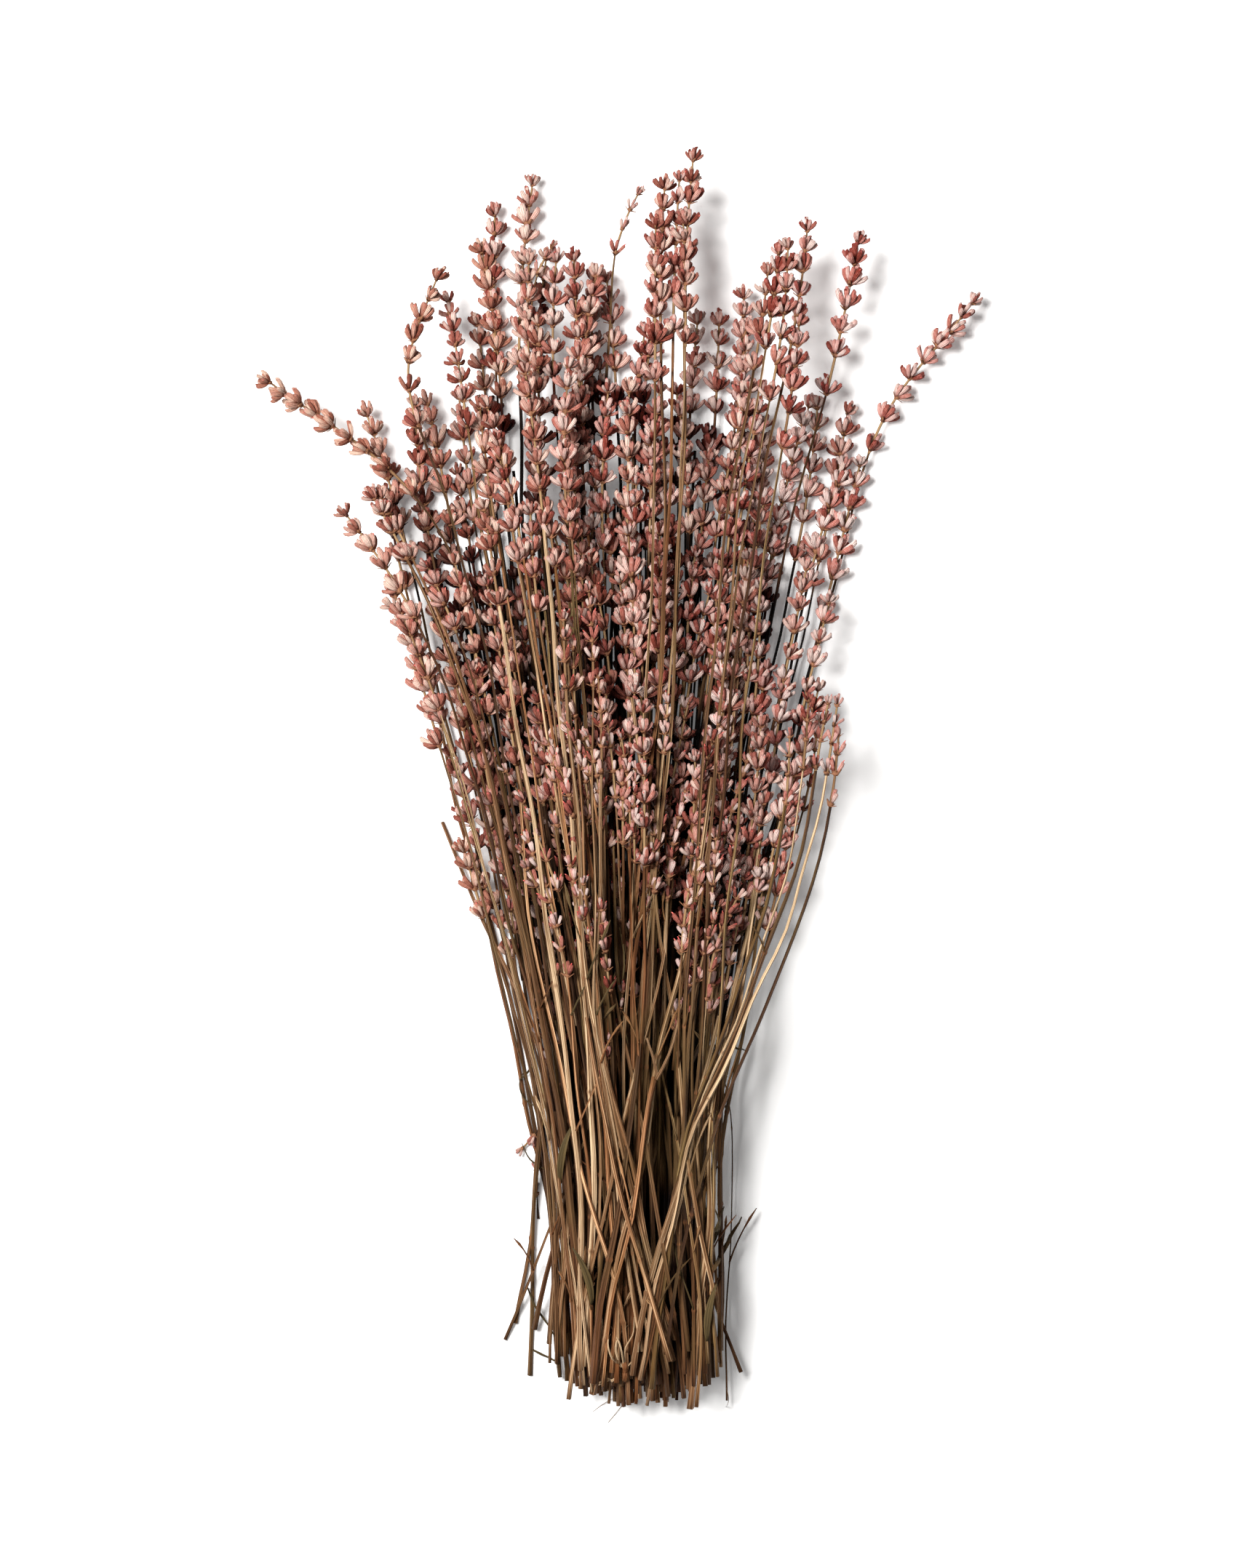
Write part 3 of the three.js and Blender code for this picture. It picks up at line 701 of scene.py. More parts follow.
class Recipe:
    """One material and its nodes."""

    def __init__(self, name):
        self.material = bpy.data.materials.new(name)
        self.material.use_nodes = True
        self.nodes = self.material.node_tree.nodes
        self.links = self.material.node_tree.links
        self.shader = self.nodes["Principled BSDF"]

    def put(self, socket, value):
        if isinstance(value, Wire):
            self.links.new(value.socket, socket)
        elif value is not None:
            socket.default_value = tone(value) if isinstance(value, tuple) else value

    def add(self, kind, settings, *values, **named):
        """A node with its settings made first, then its sockets, in order or by name."""
        node = self.nodes.new(kind)
        for key, value in settings.items():
            if key == "stops":
                ramp = node.color_ramp
                while len(ramp.elements) < len(value):
                    ramp.elements.new(0.5)
                for element, (place, colour) in zip(ramp.elements, value):
                    element.position, element.color = place, tone(colour)
            else:
                setattr(node, key, value)
        for socket, value in zip(node.inputs, values):
            self.put(socket, value)
        for key, value in named.items():
            self.put(node.inputs[key], value)
        return [Wire(self, socket) for socket in node.outputs]

    def attribute(self, name):
        vector = self.add("ShaderNodeAttribute", {"attribute_name": name})[1]
        return self.add("ShaderNodeSeparateXYZ", {}, vector)

    def place(self):
        return self.add("ShaderNodeTexCoord", {})[3]

    def deep(self):
        """How far down in the pile, from 0 to 1, for painted shade."""
        return self.add("ShaderNodeAttribute", {"attribute_name": "deep"})[2]

    def noise(self, vector, scale, detail=2.0, rough=0.5):
        sockets = {"Vector": vector, "Scale": scale, "Detail": detail, "Roughness": rough}
        return self.add("ShaderNodeTexNoise", {}, **sockets)[0]

    def ramp(self, factor, *stops):
        return self.add("ShaderNodeValToRGB", {"stops": stops}, factor)[0]

    def blend(self, factor, a, b, how="MIX"):
        """Two colours mixed; the sockets between the factor and the colours are for numbers and vectors."""
        unused = [None] * 5
        return self.add("ShaderNodeMix", {"data_type": "RGBA", "blend_type": how}, factor, *unused, a, b)[2]

    def join(self, x, y, z):
        return self.add("ShaderNodeCombineXYZ", {}, x, y, z)[0]

    def finish(self, colour, roughness, bump, depth):
        self.put(self.shader.inputs["Specular IOR Level"], GLOSS)
        self.put(self.shader.inputs["Base Color"], colour)
        self.put(self.shader.inputs["Roughness"], roughness)
        normal = self.add("ShaderNodeBump", {}, Strength=1.0, Distance=depth, Height=bump)[0]
        self.put(self.shader.inputs["Normal"], normal)
        return self.material


def stem_material(looks):
    """Dry ridged stalk: straw and brown streaks along it, woody and orange towards the cut end, with painted
    shade deeper in the pile.
    """
    r = Recipe("dry_stem")
    cx, cy, along = r.attribute("grain")
    tint, kind, wood = r.attribute("look")
    streak = r.noise(r.join(cx * 1.4 + tint * 37, cy * 1.4, along * 11), 1.7, 3.0, 0.62)
    patch = r.noise(r.place(), 26.0)
    base = r.ramp(tint * 0.8 + (streak - 0.5) * 1.6 + 0.06,
                  (0.0, looks.stem_dark), (0.36, (68, 43, 25)), (0.7, looks.stem), (0.94, looks.stem_light))
    base = r.blend(1 - kind.above(0.0, 0.09), base, (222, 226, 196), "MULTIPLY")
    base = r.blend(kind.above(0.19, STEM_HUES), base, (255, 222, 198), "MULTIPLY")
    base = r.blend(patch.above(0.5, 0.7) * 0.4, base, (104, 84, 48))
    bark = r.ramp(streak, (0.3, (60, 34, 20)), (0.85, (160, 102, 62)))
    base = r.blend(wood * (0.3 + streak * 0.7), base, bark)
    leaf = r.ramp(streak, (0.3, (52, 44, 26)), (0.8, (112, 92, 58)))
    base = r.blend(kind.above(0.3, LEAF), base, leaf)
    # Painted shade: darker the deeper a stalk lies in the pile.
    base = r.blend(r.deep().above(-0.05, 0.26), base, (60, 38, 27), "MULTIPLY")
    fine = r.noise(r.join(cx * 3, cy * 3, along * 90), 2.2)
    return r.finish(base, streak * 0.25 + 0.5, fine + (cx * 9).sine() * 0.25, 0.00025)


def flower_material(looks):
    """Dyed dry calyx: ribbed, dusty pink, orange-brown at its root and redder at its rim, with painted shade
    at its root between the calyces and deeper in the pile.
    """
    r = Recipe("dry_calyx")
    cx, cy, grow = r.attribute("grain")
    tint, kind, age = r.attribute("look")
    turn = r.add("ShaderNodeMath", {"operation": "ARCTAN2"}, cy, cx)[0]
    ribs = (turn * 11).sine()
    speck = r.noise(r.place(), 900.0)
    patch = r.noise(r.place(), 34.0)
    pale = tint + (speck - 0.5) * 0.5
    pink = r.ramp(pale, (0.0, (134, 56, 44)), (0.3, (210, 131, 117)),
                  (0.57, looks.calyx), (0.83, looks.calyx_light))
    dull = r.ramp(pale, (0.0, (122, 64, 49)), (0.4, (180, 115, 93)),
                  (0.75, (218, 164, 142)), (1.0, (248, 212, 190)))
    colour = r.blend(age, pink, dull)
    colour = r.blend(patch.above(0.55, 0.75) * 0.35, colour, (196, 96, 98))
    colour = r.blend(grow.above(0.7, 1.0) * speck.above(0.42, 0.7) * 0.6, colour, (186, 78, 82))
    # Darker towards the root: the calyx's own orange-brown there, deepened as painted shade between the
    # calyces.
    root = (1 - grow.above(0.0, 0.4)) * (0.6 + speck * 0.5)
    colour = r.blend(root, colour, r.ramp(tint, (0.2, (98, 42, 26)), (0.8, (190, 98, 62))))
    colour = r.blend(ribs.above(-1.0, 0.2) * -0.42 + 0.42, colour, (112, 50, 40))
    petal = r.ramp(speck, (0.3, (186, 62, 64)), (0.7, (224, 120, 108)))
    colour = r.blend(kind.above(0.3, 0.45), colour, petal)
    bract = r.ramp(speck, (0.3, (98, 64, 44)), (0.7, (150, 104, 76)))
    colour = r.blend(kind.above(0.6, 0.7), colour, bract)
    stalk = r.ramp(tint, (0.2, (150, 112, 78)), (0.8, (186, 150, 108)))
    colour = r.blend(kind.above(0.85, 0.95), colour, stalk)
    # Painted shade: darker the deeper a calyx lies in the pile.
    colour = r.blend(r.deep().above(0.0, 0.42), colour, (102, 46, 32), "MULTIPLY")
    return r.finish(colour, speck * 0.2 + 0.62, ribs * 0.6 + speck, 0.00026)


def floor_material(looks):
    """Plain matt white with a faint glow of its own."""
    r = Recipe("plain_floor")
    grain = r.noise(r.place(), 6.0)
    r.put(r.shader.inputs["Emission Color"], (1, 1, 1, 1))
    r.put(r.shader.inputs["Emission Strength"], FLOOR_GLOW)
    return r.finish(looks.floor, grain * 0.05 + 0.85, grain, 0.0)


# Shapes, in millimetres. A stalk's half width at its foot and at its neck, how much wider it is at its cut
# end and at a node, and how far below its neck it starts to bend on its own.
STALK_FOOT, STALK_NECK = 1.2, 0.72
END_SWELL, NODE_SWELL = 1.12, 1.28
FREE_LENGTH = 45

# How many calyces of a cup have a scrap of petal, how far up a calyx that sits, and between which angles
# the inner and the outer calyces lean out.
PETAL_SHARE = 0.3
PETAL_AT = 5.2
INNER_LEAN, OUTER_LEAN = (4, 26), (36, 68)

# Distances between the cups of a head. Sprays with short heads have small pairs instead of cups.
CUP_GAP, PAIR_GAP, LOOSE_GAP = 9.0, 7.6, 6.8
SHORT_HEAD = 60


def new_mesh():
    """An empty bmesh with the two attributes that the materials read."""
    bm = bmesh.new()
    bm.verts.layers.float_vector.new("grain")
    bm.verts.layers.float_vector.new("look")
    return bm


def kept(bm, name):
    """The bmesh as a mesh that can be put in many times."""
    mesh = bpy.data.meshes.new(name)
    bm.to_mesh(mesh)
    bm.free()
    return mesh


def merge(bm, part):
    """Moves a small bmesh into a larger one, because operators are quick on small ones."""
    mesh = kept(part, "part")
    bm.from_mesh(mesh)
    bpy.data.meshes.remove(mesh)


def put_in(bm, mesh, matrix, look=None):
    """Adds a copy of a mesh, with its own look where one is given, and returns its vertices."""
    start = len(bm.verts)
    bm.from_mesh(mesh)
    bm.verts.ensure_lookup_table()
    verts = bm.verts[start:]
    bmesh.ops.transform(bm, matrix=matrix, verts=verts)
    if look is not None:
        layer = bm.verts.layers.float_vector["look"]
        for vert in verts:
            vert[layer] = look
    return verts


def frames_along(points, sizes, turns):
    """One matrix for each point of a path: across, up and along it, with its half width and height."""
    frames = []
    for i, point in enumerate(points):
        ahead = (points[min(i + 1, len(points) - 1)] - points[max(i - 1, 0)]).normalized()
        side = ahead.cross(Vector((0, 0, 1))).normalized()
        up = side.cross(ahead)
        rows = Matrix((side, up, ahead)).transposed().to_4x4()
        turned = Matrix.Translation(point) @ rows @ Matrix.Rotation(turns[i], 4, "Z")
        frames.append(turned @ Matrix.Diagonal((sizes[i][0] * MM, sizes[i][1] * MM, MM, 1)))
    return frames


def sweep(bm, points, sizes, look, turns=None, woods=None, sides=6, ridge=1.0):
    """A closed ridged rod along a path, by extruding a ring of it from point to point."""
    turns, woods = turns or [0.0] * len(points), woods or [0.0] * len(points)
    rod = new_mesh()
    grain = rod.verts.layers.float_vector["grain"]
    looks = rod.verts.layers.float_vector["look"]
    ring = bmesh.ops.create_circle(rod, cap_ends=True, segments=sides, radius=1.0)["verts"]
    for i, vert in enumerate(ring):
        if i % 2:
            vert.co *= ridge
        vert[grain] = (vert.co.x, vert.co.y, 0)
        vert[looks] = (look[0], look[1], woods[0])
    frames = frames_along(points, sizes, turns)
    bmesh.ops.transform(rod, matrix=frames[0], verts=ring)
    edges = list({edge for vert in ring for edge in vert.link_edges})
    along = 0.0
    for k in range(1, len(points)):
        grown = bmesh.ops.extrude_edge_only(rod, edges=edges)["geom"]
        ring = [g for g in grown if isinstance(g, bmesh.types.BMVert)]
        top = set(ring)
        edges = [g for g in grown if isinstance(g, bmesh.types.BMEdge) and top.issuperset(g.verts)]
        bmesh.ops.transform(rod, matrix=frames[k] @ frames[k - 1].inverted(), verts=ring)
        along += (points[k] - points[k - 1]).length
        held = set(edges)
        for vert in ring:
            cx, cy, _ = vert[grain]
            vert[grain] = (cx, cy, along)
            vert[looks] = (look[0], look[1], woods[k])
            if cx * cx + cy * cy > 0.9:
                for edge in vert.link_edges:
                    if edge not in held:
                        edge.smooth = False
    bmesh.ops.contextual_create(rod, geom=edges)
    merge(bm, rod)


def finish_piece(bm, name, material, nodes=()):
    """Turns the bmesh into a piece that rides on the bunch and stands for its solids, with its depth in the
    pile for painted shade.
    """
    for vert in bm.verts:
        vert.co.z = max(vert.co.z, 0.0)
    bmesh.ops.recalc_face_normals(bm, faces=bm.faces)
    for face in bm.faces:
        face.smooth = True
    mesh = kept(bm, name)
    places = np.empty(len(mesh.vertices) * 3)
    mesh.vertices.foreach_get("co", places)
    # How deep each vertex lies in the pile, which the materials darken as painted shade.
    deep = mesh.attributes.new("deep", "FLOAT", "POINT")
    deep.data.foreach_set("value", RELIEF.depth(places.reshape(-1, 3)))
    mesh.materials.append(material)
    piece = bpy.data.objects.new(name, mesh)
    bpy.context.scene.collection.objects.link(piece)
    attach(piece, "root")
    if nodes:
        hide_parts(*nodes)


def calyx_mesh(length, width, bend):
    """A plump closed calyx that stands on its narrow root and curls inwards."""
    bm = new_mesh()
    grain = bm.verts.layers.float_vector["grain"]
    bmesh.ops.create_uvsphere(bm, u_segments=5, v_segments=5, radius=1.0)
    for vert in bm.verts:
        t = (vert.co.z + 1) / 2
        around = math.atan2(vert.co.y, vert.co.x)
        vert[grain] = (math.cos(around), math.sin(around), t)
        swell = 0.84 + 0.72 * t ** 4
        vert.co.x = vert.co.x * swell * width / 2 - bend * t * t * length
        vert.co.y = vert.co.y * swell * width / 2
        vert.co.z = length * (1 - (1 - t) ** 1.2)
    return kept(bm, "calyx")


def petal_mesh():
    """A shrivelled scrap of the corolla, that sticks out of a calyx."""
    bm = new_mesh()
    bmesh.ops.create_cone(bm, cap_ends=True, segments=4, radius1=0.35, radius2=0.16, depth=1.5)
    for vert in bm.verts:
        vert.co.x += 0.3 * vert.co.z * vert.co.z
    return kept(bm, "petal")


def whorl_mesh(calyces, petal, draw, count, spread):
    """An open cup of calyces around the stalk, with two dry bracts under it."""
    bm = new_mesh()
    looks = bm.verts.layers.float_vector["look"]
    start = draw(0, TURN)
    inner = max(1, count // 4)
    for i in range(count):
        outer = i >= inner
        share = (i - inner) / (count - inner) if outer else i / inner
        around = start + TURN * share + draw(-0.28, 0.28) + (0 if outer else 0.5)
        tilt = math.radians(draw(*(OUTER_LEAN if outer else INNER_LEAN))) * spread
        scale = draw(0.85, 1.08)
        mesh = calyces[math.floor(draw(0, len(calyces) - 0.001))]
        shift = (0.35, 0, draw(-0.3, 0.9)) if outer else (0.2, 0, draw(0.6, 1.6))
        root = Matrix.Rotation(around, 4, "Z") @ Matrix.Translation(shift)
        lean = Matrix.Rotation(tilt, 4, "Y") @ Matrix.Scale(scale, 4)
        tint = draw(0, 1)
        put_in(bm, mesh, root @ lean, (tint, CALYX, 0))
        if draw(0, 1) < PETAL_SHARE:
            spin = Matrix.Rotation(draw(0, TURN), 4, "Z")
            rim = root @ lean @ Matrix.Translation((-0.7, 0, PETAL_AT)) @ spin
            put_in(bm, petal, rim, (tint, PETAL, 0))
    for side in (0, 1):
        flat = Matrix.Diagonal((0.7, 2.6, 1.9, 1))
        lean = Matrix.Rotation(math.radians(draw(50, 74)), 4, "Y")
        root = Matrix.Rotation(start + math.pi * side + 0.4, 4, "Z") @ Matrix.Translation((1.4, 0, 0.3))
        put_in(bm, petal, root @ lean @ flat, (draw(0, 1), BRACT, 0))
    cup = bmesh.ops.create_cone(bm, cap_ends=True, segments=6, radius1=0.5, radius2=1.3, depth=1.6)["verts"]
    for vert in cup:
        vert[looks] = (0.4, BRACT, 0)
    return kept(bm, "whorl")


def wave(draw, size):
    """A gentle sideways bend, as a function of the length."""
    parts = [(draw(0.3, 1.0) * size, draw(0, TURN), TURN / draw(55, 130)) for _ in range(2)]
    return lambda v: sum(a * math.sin(f * v + p) for a, p, f in parts)


def grow_stem(bm, spray, stem, draw, thick, look, woody, lift=0, forks=0):
    """One stalk of a spray from its cut foot to its neck, with a swollen node or two."""
    start, neck_at = stem.start + stem.cut, stem.neck_at
    rows = max(6, round((neck_at - start) / 10))
    places = [mix(start, neck_at, k / rows) for k in range(rows + 1)]
    nodes = [draw(start + 20, start + 60), draw(start + 90, start + 170)]
    nodes = [node for node in nodes if node < neck_at - 12]
    places = sorted(places + [node + off for node in nodes for off in (-1.3, 0, 1.3)])
    side, rise = wave(draw, 0.75), wave(draw, 0.35)
    twist = draw(-0.9, 0.9)
    spin = draw(0, TURN)
    brown = draw(60, 120)
    points, sizes, turns, woods = [], [], [], []
    for k, v in enumerate(places):
        free = min(1, (neck_at - v) / FREE_LENGTH)
        u = stem.across(v) + free * side(v)
        knot = v in nodes
        swell = END_SWELL if k == 0 else NODE_SWELL if knot else 1
        wide = mix(STALK_FOOT, STALK_NECK, min(1, v / neck_at)) * thick * swell
        points.append(spray.point(v, u, 0.25 * wide + mix(stem.rise, lift, free) + free * rise(v)))
        sizes.append((wide, wide * 0.92))
        turns.append(spin + twist * v / neck_at)
        woods.append(1.0 if knot else max(0, 1 - (v - start) / brown) * woody)
        if knot and draw(0, 1) < forks:
            grow_twig(bm, points[-1], draw, look)
    sweep(bm, points, sizes, look, turns, woods, sides=8, ridge=0.7)


def grow_twig(bm, root, draw, look):
    """A thin side twig with a bract or an unopened bud at its end."""
    away = math.radians(draw(8, 24) * (1 if draw(0, 1) < 0.5 else -1))
    length = draw(10, 30)
    bend = draw(-0.3, 0.3)
    points = []
    for k in range(6):
        s = k / 5
        turn = away + bend * s
        step = Vector((math.sin(turn), math.cos(turn), 0.05 + 0.1 * (1 - s))) * length * s * MM
        points.append(root + step + Vector((0, 0, 0.5 * MM)))
    bud = draw(0.35, 0.9)
    sizes = [(0.45, 0.45), (0.38, 0.38), (0.34, 0.34), (0.32, 0.32), (bud, bud * 0.7), (0.15, 0.12)]
    sweep(bm, points, sizes, (look[0], draw(0, 1)), ridge=0.95)


def grow_leaf(bm, spray, leaf, draw):
    """A narrow dry leaf that arches away over its stem."""
    _, number, at, rise, aside = leaf
    stem = spray.stems[number]
    points, sizes, turns = [], [], []
    for k in range(9):
        s = k / 8
        v = at + s * LEAF_LENGTH
        points.append(spray.point(v, stem.across(v) + aside * s * s, 0.6 + rise * s))
        wide = 1.5 * math.sin(math.pi * min(1, 0.12 + 0.85 * s)) + 0.12
        sizes.append((wide, 0.22))
        turns.append(0.9 * s - 0.4)
    sweep(bm, points, sizes, (draw(0, 1), LEAF), turns)


def grow_scrap(bm, path, wide, thin, look, draw):
    """A shrivelled blade, twig or shred that lies on the pile."""
    curve = Curve([(x, y) for x, y, _ in path])
    count = 4 * (len(path) - 1)
    points, sizes = [], []
    for k in range(count + 1):
        x, y = curve.place(curve.length * k / count, 0)
        i = min(k // 4, len(path) - 2)
        up = mix(path[i][2], path[i + 1][2], k / 4 - i)
        points.append(Vector((x + CENTRE_X, y + CENTRE_Y, RELIEF.top(x, y) + up + thin)) * MM)
        share = math.sin(math.pi * min(1, 0.15 + 0.83 * k / count))
        sizes.append((mix(0.2, 1, share) * wide, thin))
    spin, twist = draw(-0.4, 0.4), draw(-1.6, 1.6)
    turns = [spin + twist * k / count for k in range(count + 1)]
    sweep(bm, points, sizes, look, turns)


def grow_head(bm, spray, stem, whorls, draw, gap=CUP_GAP, petite=1.0, hue=None):
    """One head: a thin stalk with cups of calyces up to its tip."""
    end = stem.neck_at + (stem.whorls - 1) * WHORL_SPACING + TIP_GAP + WHORL_HEIGHT + BUD_LENGTH
    last = end - 4.6 * petite
    count = max(2, round((last - stem.neck_at) / gap) + 1)
    steps = 2 * count + 2
    bow = draw(-0.0018, 0.0018)

    def spot(v):
        on = max(0, v - stem.neck_at)
        return spray.point(v, stem.across(v) + bow * on * on, stem.rise)

    points = [spot(mix(stem.neck_at - 0.5, last + 2.0, k / steps)) for k in range(steps + 1)]
    sizes = [(mix(0.66, 0.42, k / steps) * petite,) * 2 for k in range(steps + 1)]
    head = new_mesh()
    sweep(head, points, sizes, (draw(0.2, 1), STALK), ridge=0.9)
    if hue is None:
        hue = min(1, max(0, 0.42 - points[-1].x / 0.24 + draw(-0.35, 0.35)))
    shift = draw(-0.15, 0.25)
    layer = head.verts.layers.float_vector["look"]
    for k in range(count):
        v = mix(stem.neck_at + 0.4, last, (k / (count - 1)) ** 0.8)
        if k < count - 1:
            v += draw(-0.7, 0.7)
        here, ahead = spot(v), spot(v + 1)
        grow = stem.size * petite * draw(0.98, 1.22)
        if k > count - 3:
            grow *= 0.88 if k == count - 2 else 0.72
        turn = (ahead - here).to_track_quat("Z", "Y").to_matrix().to_4x4()
        tips = math.radians(draw(-17, 17)), math.radians(draw(-17, 17))
        lean = Matrix.Rotation(tips[0], 4, "X") @ Matrix.Rotation(tips[1], 4, "Y")
        spin = Matrix.Rotation(draw(0, TURN), 4, "Z")
        mesh = whorls[math.floor(draw(0, len(whorls) - 0.001))]
        size = Matrix.Scale(grow * MM, 4)
        for vert in put_in(head, mesh, Matrix.Translation(here) @ turn @ lean @ spin @ size):
            tint, kind, _ = vert[layer]
            vert[layer] = (min(1, max(0, tint + shift)), kind, hue)
    merge(bm, head)


# The add-on.
def colour_property(name, description, colour):
    return FloatVectorProperty(
        name=name, description=description, subtype="COLOR", size=4, default=tone(colour))


class LavenderLooks(bpy.types.PropertyGroup):
    """Sizes and colours of the bunch."""

    calyx_length: FloatProperty(
        name="Calyx length", description="Length of a full calyx", default=6.0 * MM, unit="LENGTH")
    calyx_width: FloatProperty(
        name="Calyx width", description="Width of a full calyx", default=2.05 * MM, unit="LENGTH")
    stem_light: colour_property("Straw", "Palest stems", (232, 200, 160))
    stem: colour_property("Stem", "Most stems", (130, 94, 62))
    stem_dark: colour_property("Dark stem", "Darkest stems", (42, 24, 13))
    calyx: colour_property("Calyx", "Most calyces", (243, 192, 182))
    calyx_light: colour_property("Pale calyx", "Palest calyces", (253, 228, 219))
    floor: colour_property("Floor", "The pale floor", (0.92, 0.92, 0.92, 1))
    light: FloatProperty(
        name="Main light", description="Power of the soft light from the upper left", unit="POWER",
        default=66.0)
    fill: FloatProperty(
        name="Fill", description="Strength of the light from all around", default=0.18)


class LAVENDER_OT_stems(bpy.types.Operator):
    """Grows the stalks and dry leaves of every spray"""

    bl_idname = "lavender.stems"
    bl_label = "Stems"

    def execute(self, context):
        looks = context.scene.lavender
        material = stem_material(looks)
        draw = Draws(771)
        for number, spray in enumerate(BUNCH, 1):
            bm = new_mesh()
            layer_for_painted_shade = number / len(BUNCH)
            forks = SPRAY_FORKS if number > UPPER_SPRAYS else 0
            for i, stem in enumerate(spray.stems + spray.extras):
                lift = draw(-0.7, 0.9) if i >= len(spray.stems) else 0.75 if i % 2 else -0.35
                # Painted shade: the stems of sprays low in the pile get darker tints, those near its top
                # paler ones.
                tint, kind = mix(draw(0.0, 0.7), draw(0.15, 1.0), layer_for_painted_shade), draw(0, STEM_HUES)
                if number in PALE and i < len(spray.stems):
                    tint, kind = PALE[number], 0.15
                thick, woody = draw(0.54, 1.04), draw(0, 1) ** 1.5
                grow_stem(bm, spray, stem, draw, thick, (tint, kind), woody, lift, forks)
            for leaf in LEAVES:
                if leaf[0] == number:
                    grow_leaf(bm, spray, leaf, draw)
            finish_piece(bm, f"stalks_{number:02d}", material, (f"stems_{number:02d}",))
        bm = new_mesh()
        for strand, (_, _, thick, tint, woody, _) in zip(LOOSE, STRANDS):
            look = (tint, draw(0, STEM_HUES))
            grow_stem(bm, strand, strand.stems[0], draw, thick, look, woody, forks=LOOSE_FORKS)
        for strand in YOUNG:
            thick, look = draw(0.5, 0.66), (draw(0.4, 1), draw(0, STEM_HUES))
            grow_stem(bm, strand, strand.stems[0], draw, thick, look, draw(0, 1))
        for path, wide, thin, tint, leafy in SCRAPS:
            grow_scrap(bm, path, wide, thin, (tint, leafy), draw)
        finish_piece(bm, "loose_stalks", material)
        bm = new_mesh()
        for strand in DEEP:
            thick, look = draw(0.7, 1.0), (draw(0, 0.8), draw(0, STEM_HUES))
            grow_stem(bm, strand, strand.stems[0], draw, thick, look, draw(0, 1))
        finish_piece(bm, "deep_stalks", material)
        return {"FINISHED"}


class LAVENDER_OT_heads(bpy.types.Operator):
    """Grows the flower heads of every spray"""

    bl_idname = "lavender.heads"
    bl_label = "Flower heads"

    def execute(self, context):
        looks = context.scene.lavender
        material = flower_material(looks)
        draw = Draws(4242)
        length, width = looks.calyx_length / MM, looks.calyx_width / MM
        full = [calyx_mesh(length * draw(0.94, 1.06), width * draw(0.92, 1.12), draw(0.16, 0.32))
                for _ in range(6)]
        slim = [calyx_mesh(length * 0.86, width * draw(0.85, 0.95), draw(0.05, 0.2)) for _ in range(3)]
        petal = petal_mesh()
        cups = [whorl_mesh(full, petal, draw, math.floor(draw(11, 13.9)), draw(0.84, 1.1))
                for _ in range(20)]
        pairs = [whorl_mesh(slim, petal, draw, math.floor(draw(3, 5.9)), 0.6) for _ in range(8)]
        loose = [whorl_mesh(full, petal, draw, 6, draw(0.9, 1.1)) for _ in range(8)]
        for number, spray in enumerate(BUNCH, 1):
            bm = new_mesh()
            kind, gap = (pairs, PAIR_GAP) if spray.head < SHORT_HEAD else (cups, CUP_GAP)
            for stem in spray.stems + spray.extras:
                grow_head(bm, spray, stem, kind, draw, gap)
            finish_piece(bm, f"blooms_{number:02d}", material, (f"flowers_{number:02d}",))
        bm = new_mesh()
        for strand in LOOSE:
            if strand.head:
                kind = pairs if 12 < strand.head < 50 else cups
                grow_head(bm, strand, strand.stems[0], kind, draw, LOOSE_GAP, 0.9, draw(0, 0.5))
        for strand in YOUNG:
            gap, petite, hue = draw(5.6, 8.4), draw(0.8, 1.05), draw(0, 0.5)
            grow_head(bm, strand, strand.stems[0], pairs, draw, gap, petite, hue)
        finish_piece(bm, "young_blooms", material)
        bm = new_mesh()
        for strand in DEEP:
            if strand.head:
                grow_head(bm, strand, strand.stems[0], loose, draw)
        finish_piece(bm, "deep_blooms", material)
        for mesh in (*full, *slim, petal, *cups, *pairs, *loose):
            bpy.data.meshes.remove(mesh)
        return {"FINISHED"}


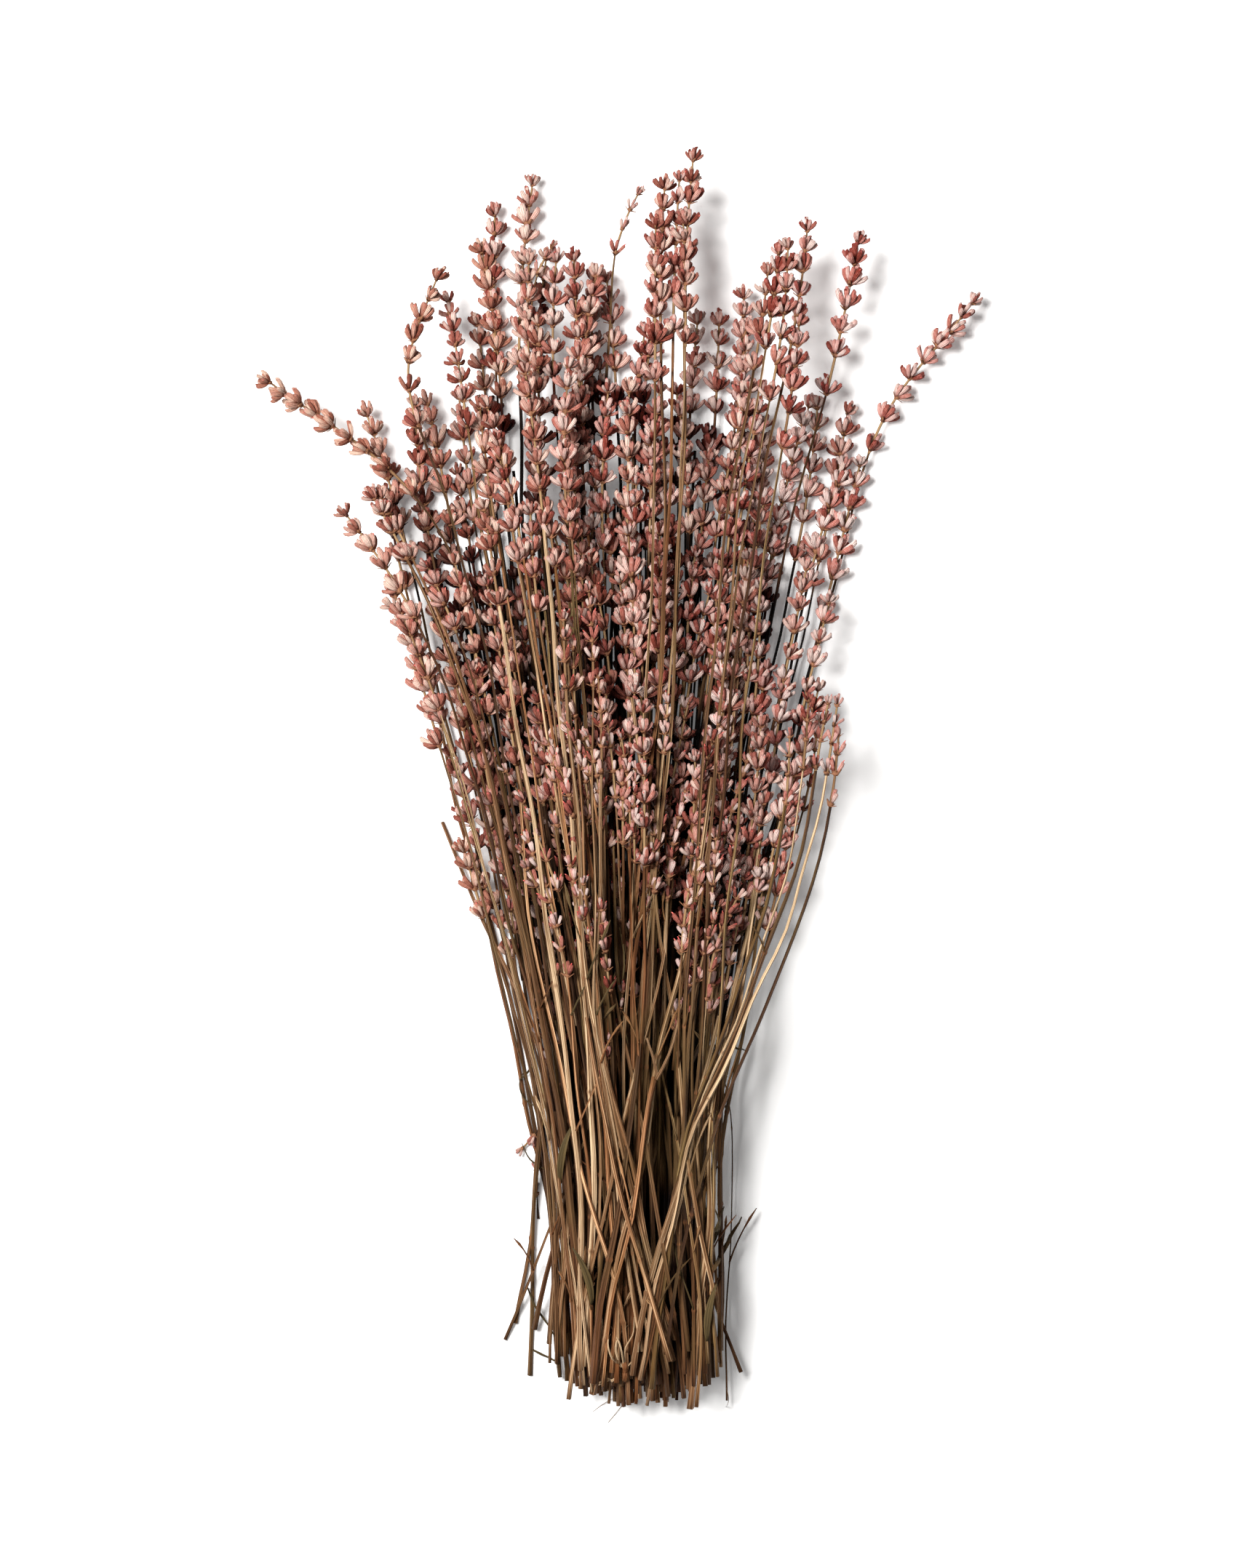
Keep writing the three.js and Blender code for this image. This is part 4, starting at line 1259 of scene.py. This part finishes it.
class LAVENDER_OT_stage(bpy.types.Operator):
    """Sets up the pale floor, the soft light and the camera that looks straight down"""

    bl_idname = "lavender.stage"
    bl_label = "Stage"

    def execute(self, context):
        scene = context.scene
        looks = scene.lavender
        bm = bmesh.new()
        bmesh.ops.create_grid(bm, x_segments=1, y_segments=1, size=FLOOR_HALF)
        floor = bpy.data.objects.new("floor", kept(bm, "floor"))
        floor.data.materials.append(floor_material(looks))
        scene.collection.objects.link(floor)
        floor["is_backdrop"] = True
        world = bpy.data.worlds.new("soft_room")
        world.use_nodes = True
        background = world.node_tree.nodes["Background"]
        background.inputs["Color"].default_value = ROOM_COLOUR
        background.inputs["Strength"].default_value = looks.fill
        scene.world = world
        lamp = bpy.data.lights.new("window", "AREA")
        lamp.shape, lamp.size, lamp.energy = "DISK", LAMP_SIZE, looks.light
        lamp.color = LAMP_COLOUR
        window = bpy.data.objects.new("window", lamp)
        window.location = LAMP_PLACE
        ahead = Vector(LAMP_AIM) - window.location
        window.rotation_euler = ahead.to_track_quat("-Z", "Y").to_euler()
        scene.collection.objects.link(window)
        lens = bpy.data.cameras.new("camera")
        lens.sensor_fit, lens.sensor_height = "VERTICAL", SENSOR
        lens.lens = SENSOR * CAMERA_DISTANCE / VIEW_HEIGHT
        lens.clip_start, lens.clip_end = 0.05, 10
        camera = bpy.data.objects.new("camera", lens)
        camera.location = (AIM[0], AIM[1], CAMERA_DISTANCE + AIM[2])
        scene.collection.objects.link(camera)
        scene.camera = camera
        scene.view_settings.view_transform = "Standard"
        return {"FINISHED"}


class LAVENDER_PT_panel(bpy.types.Panel):
    """Lists the steps of the bunch"""

    bl_idname = "LAVENDER_PT_panel"
    bl_label = "Dried lavender"
    bl_space_type = "VIEW_3D"
    bl_region_type = "UI"
    bl_category = "Lavender"

    def draw(self, context):
        looks = context.scene.lavender
        column = self.layout.column()
        for step in STEPS:
            column.operator(step.bl_idname)
        for name in looks.bl_rna.properties.keys():
            if name not in ("name", "rna_type"):
                column.prop(looks, name)


STEPS = (LAVENDER_OT_stems, LAVENDER_OT_heads, LAVENDER_OT_stage)
CLASSES = (LavenderLooks, *STEPS, LAVENDER_PT_panel)


def register():
    for cls in CLASSES:
        bpy.utils.register_class(cls)
    bpy.types.Scene.lavender = PointerProperty(type=LavenderLooks)


def unregister():
    del bpy.types.Scene.lavender
    for cls in reversed(CLASSES):
        bpy.utils.unregister_class(cls)


def main():
    register()
    bpy.ops.lavender.stems()
    bpy.ops.lavender.heads()
    bpy.ops.lavender.stage()
    boxes = {"cad": CAD_BOX, "visual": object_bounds()}
    plain = {key: [list(map(float, corner)) for corner in box] for key, box in boxes.items()}


if __name__ == "__main__":
    main()
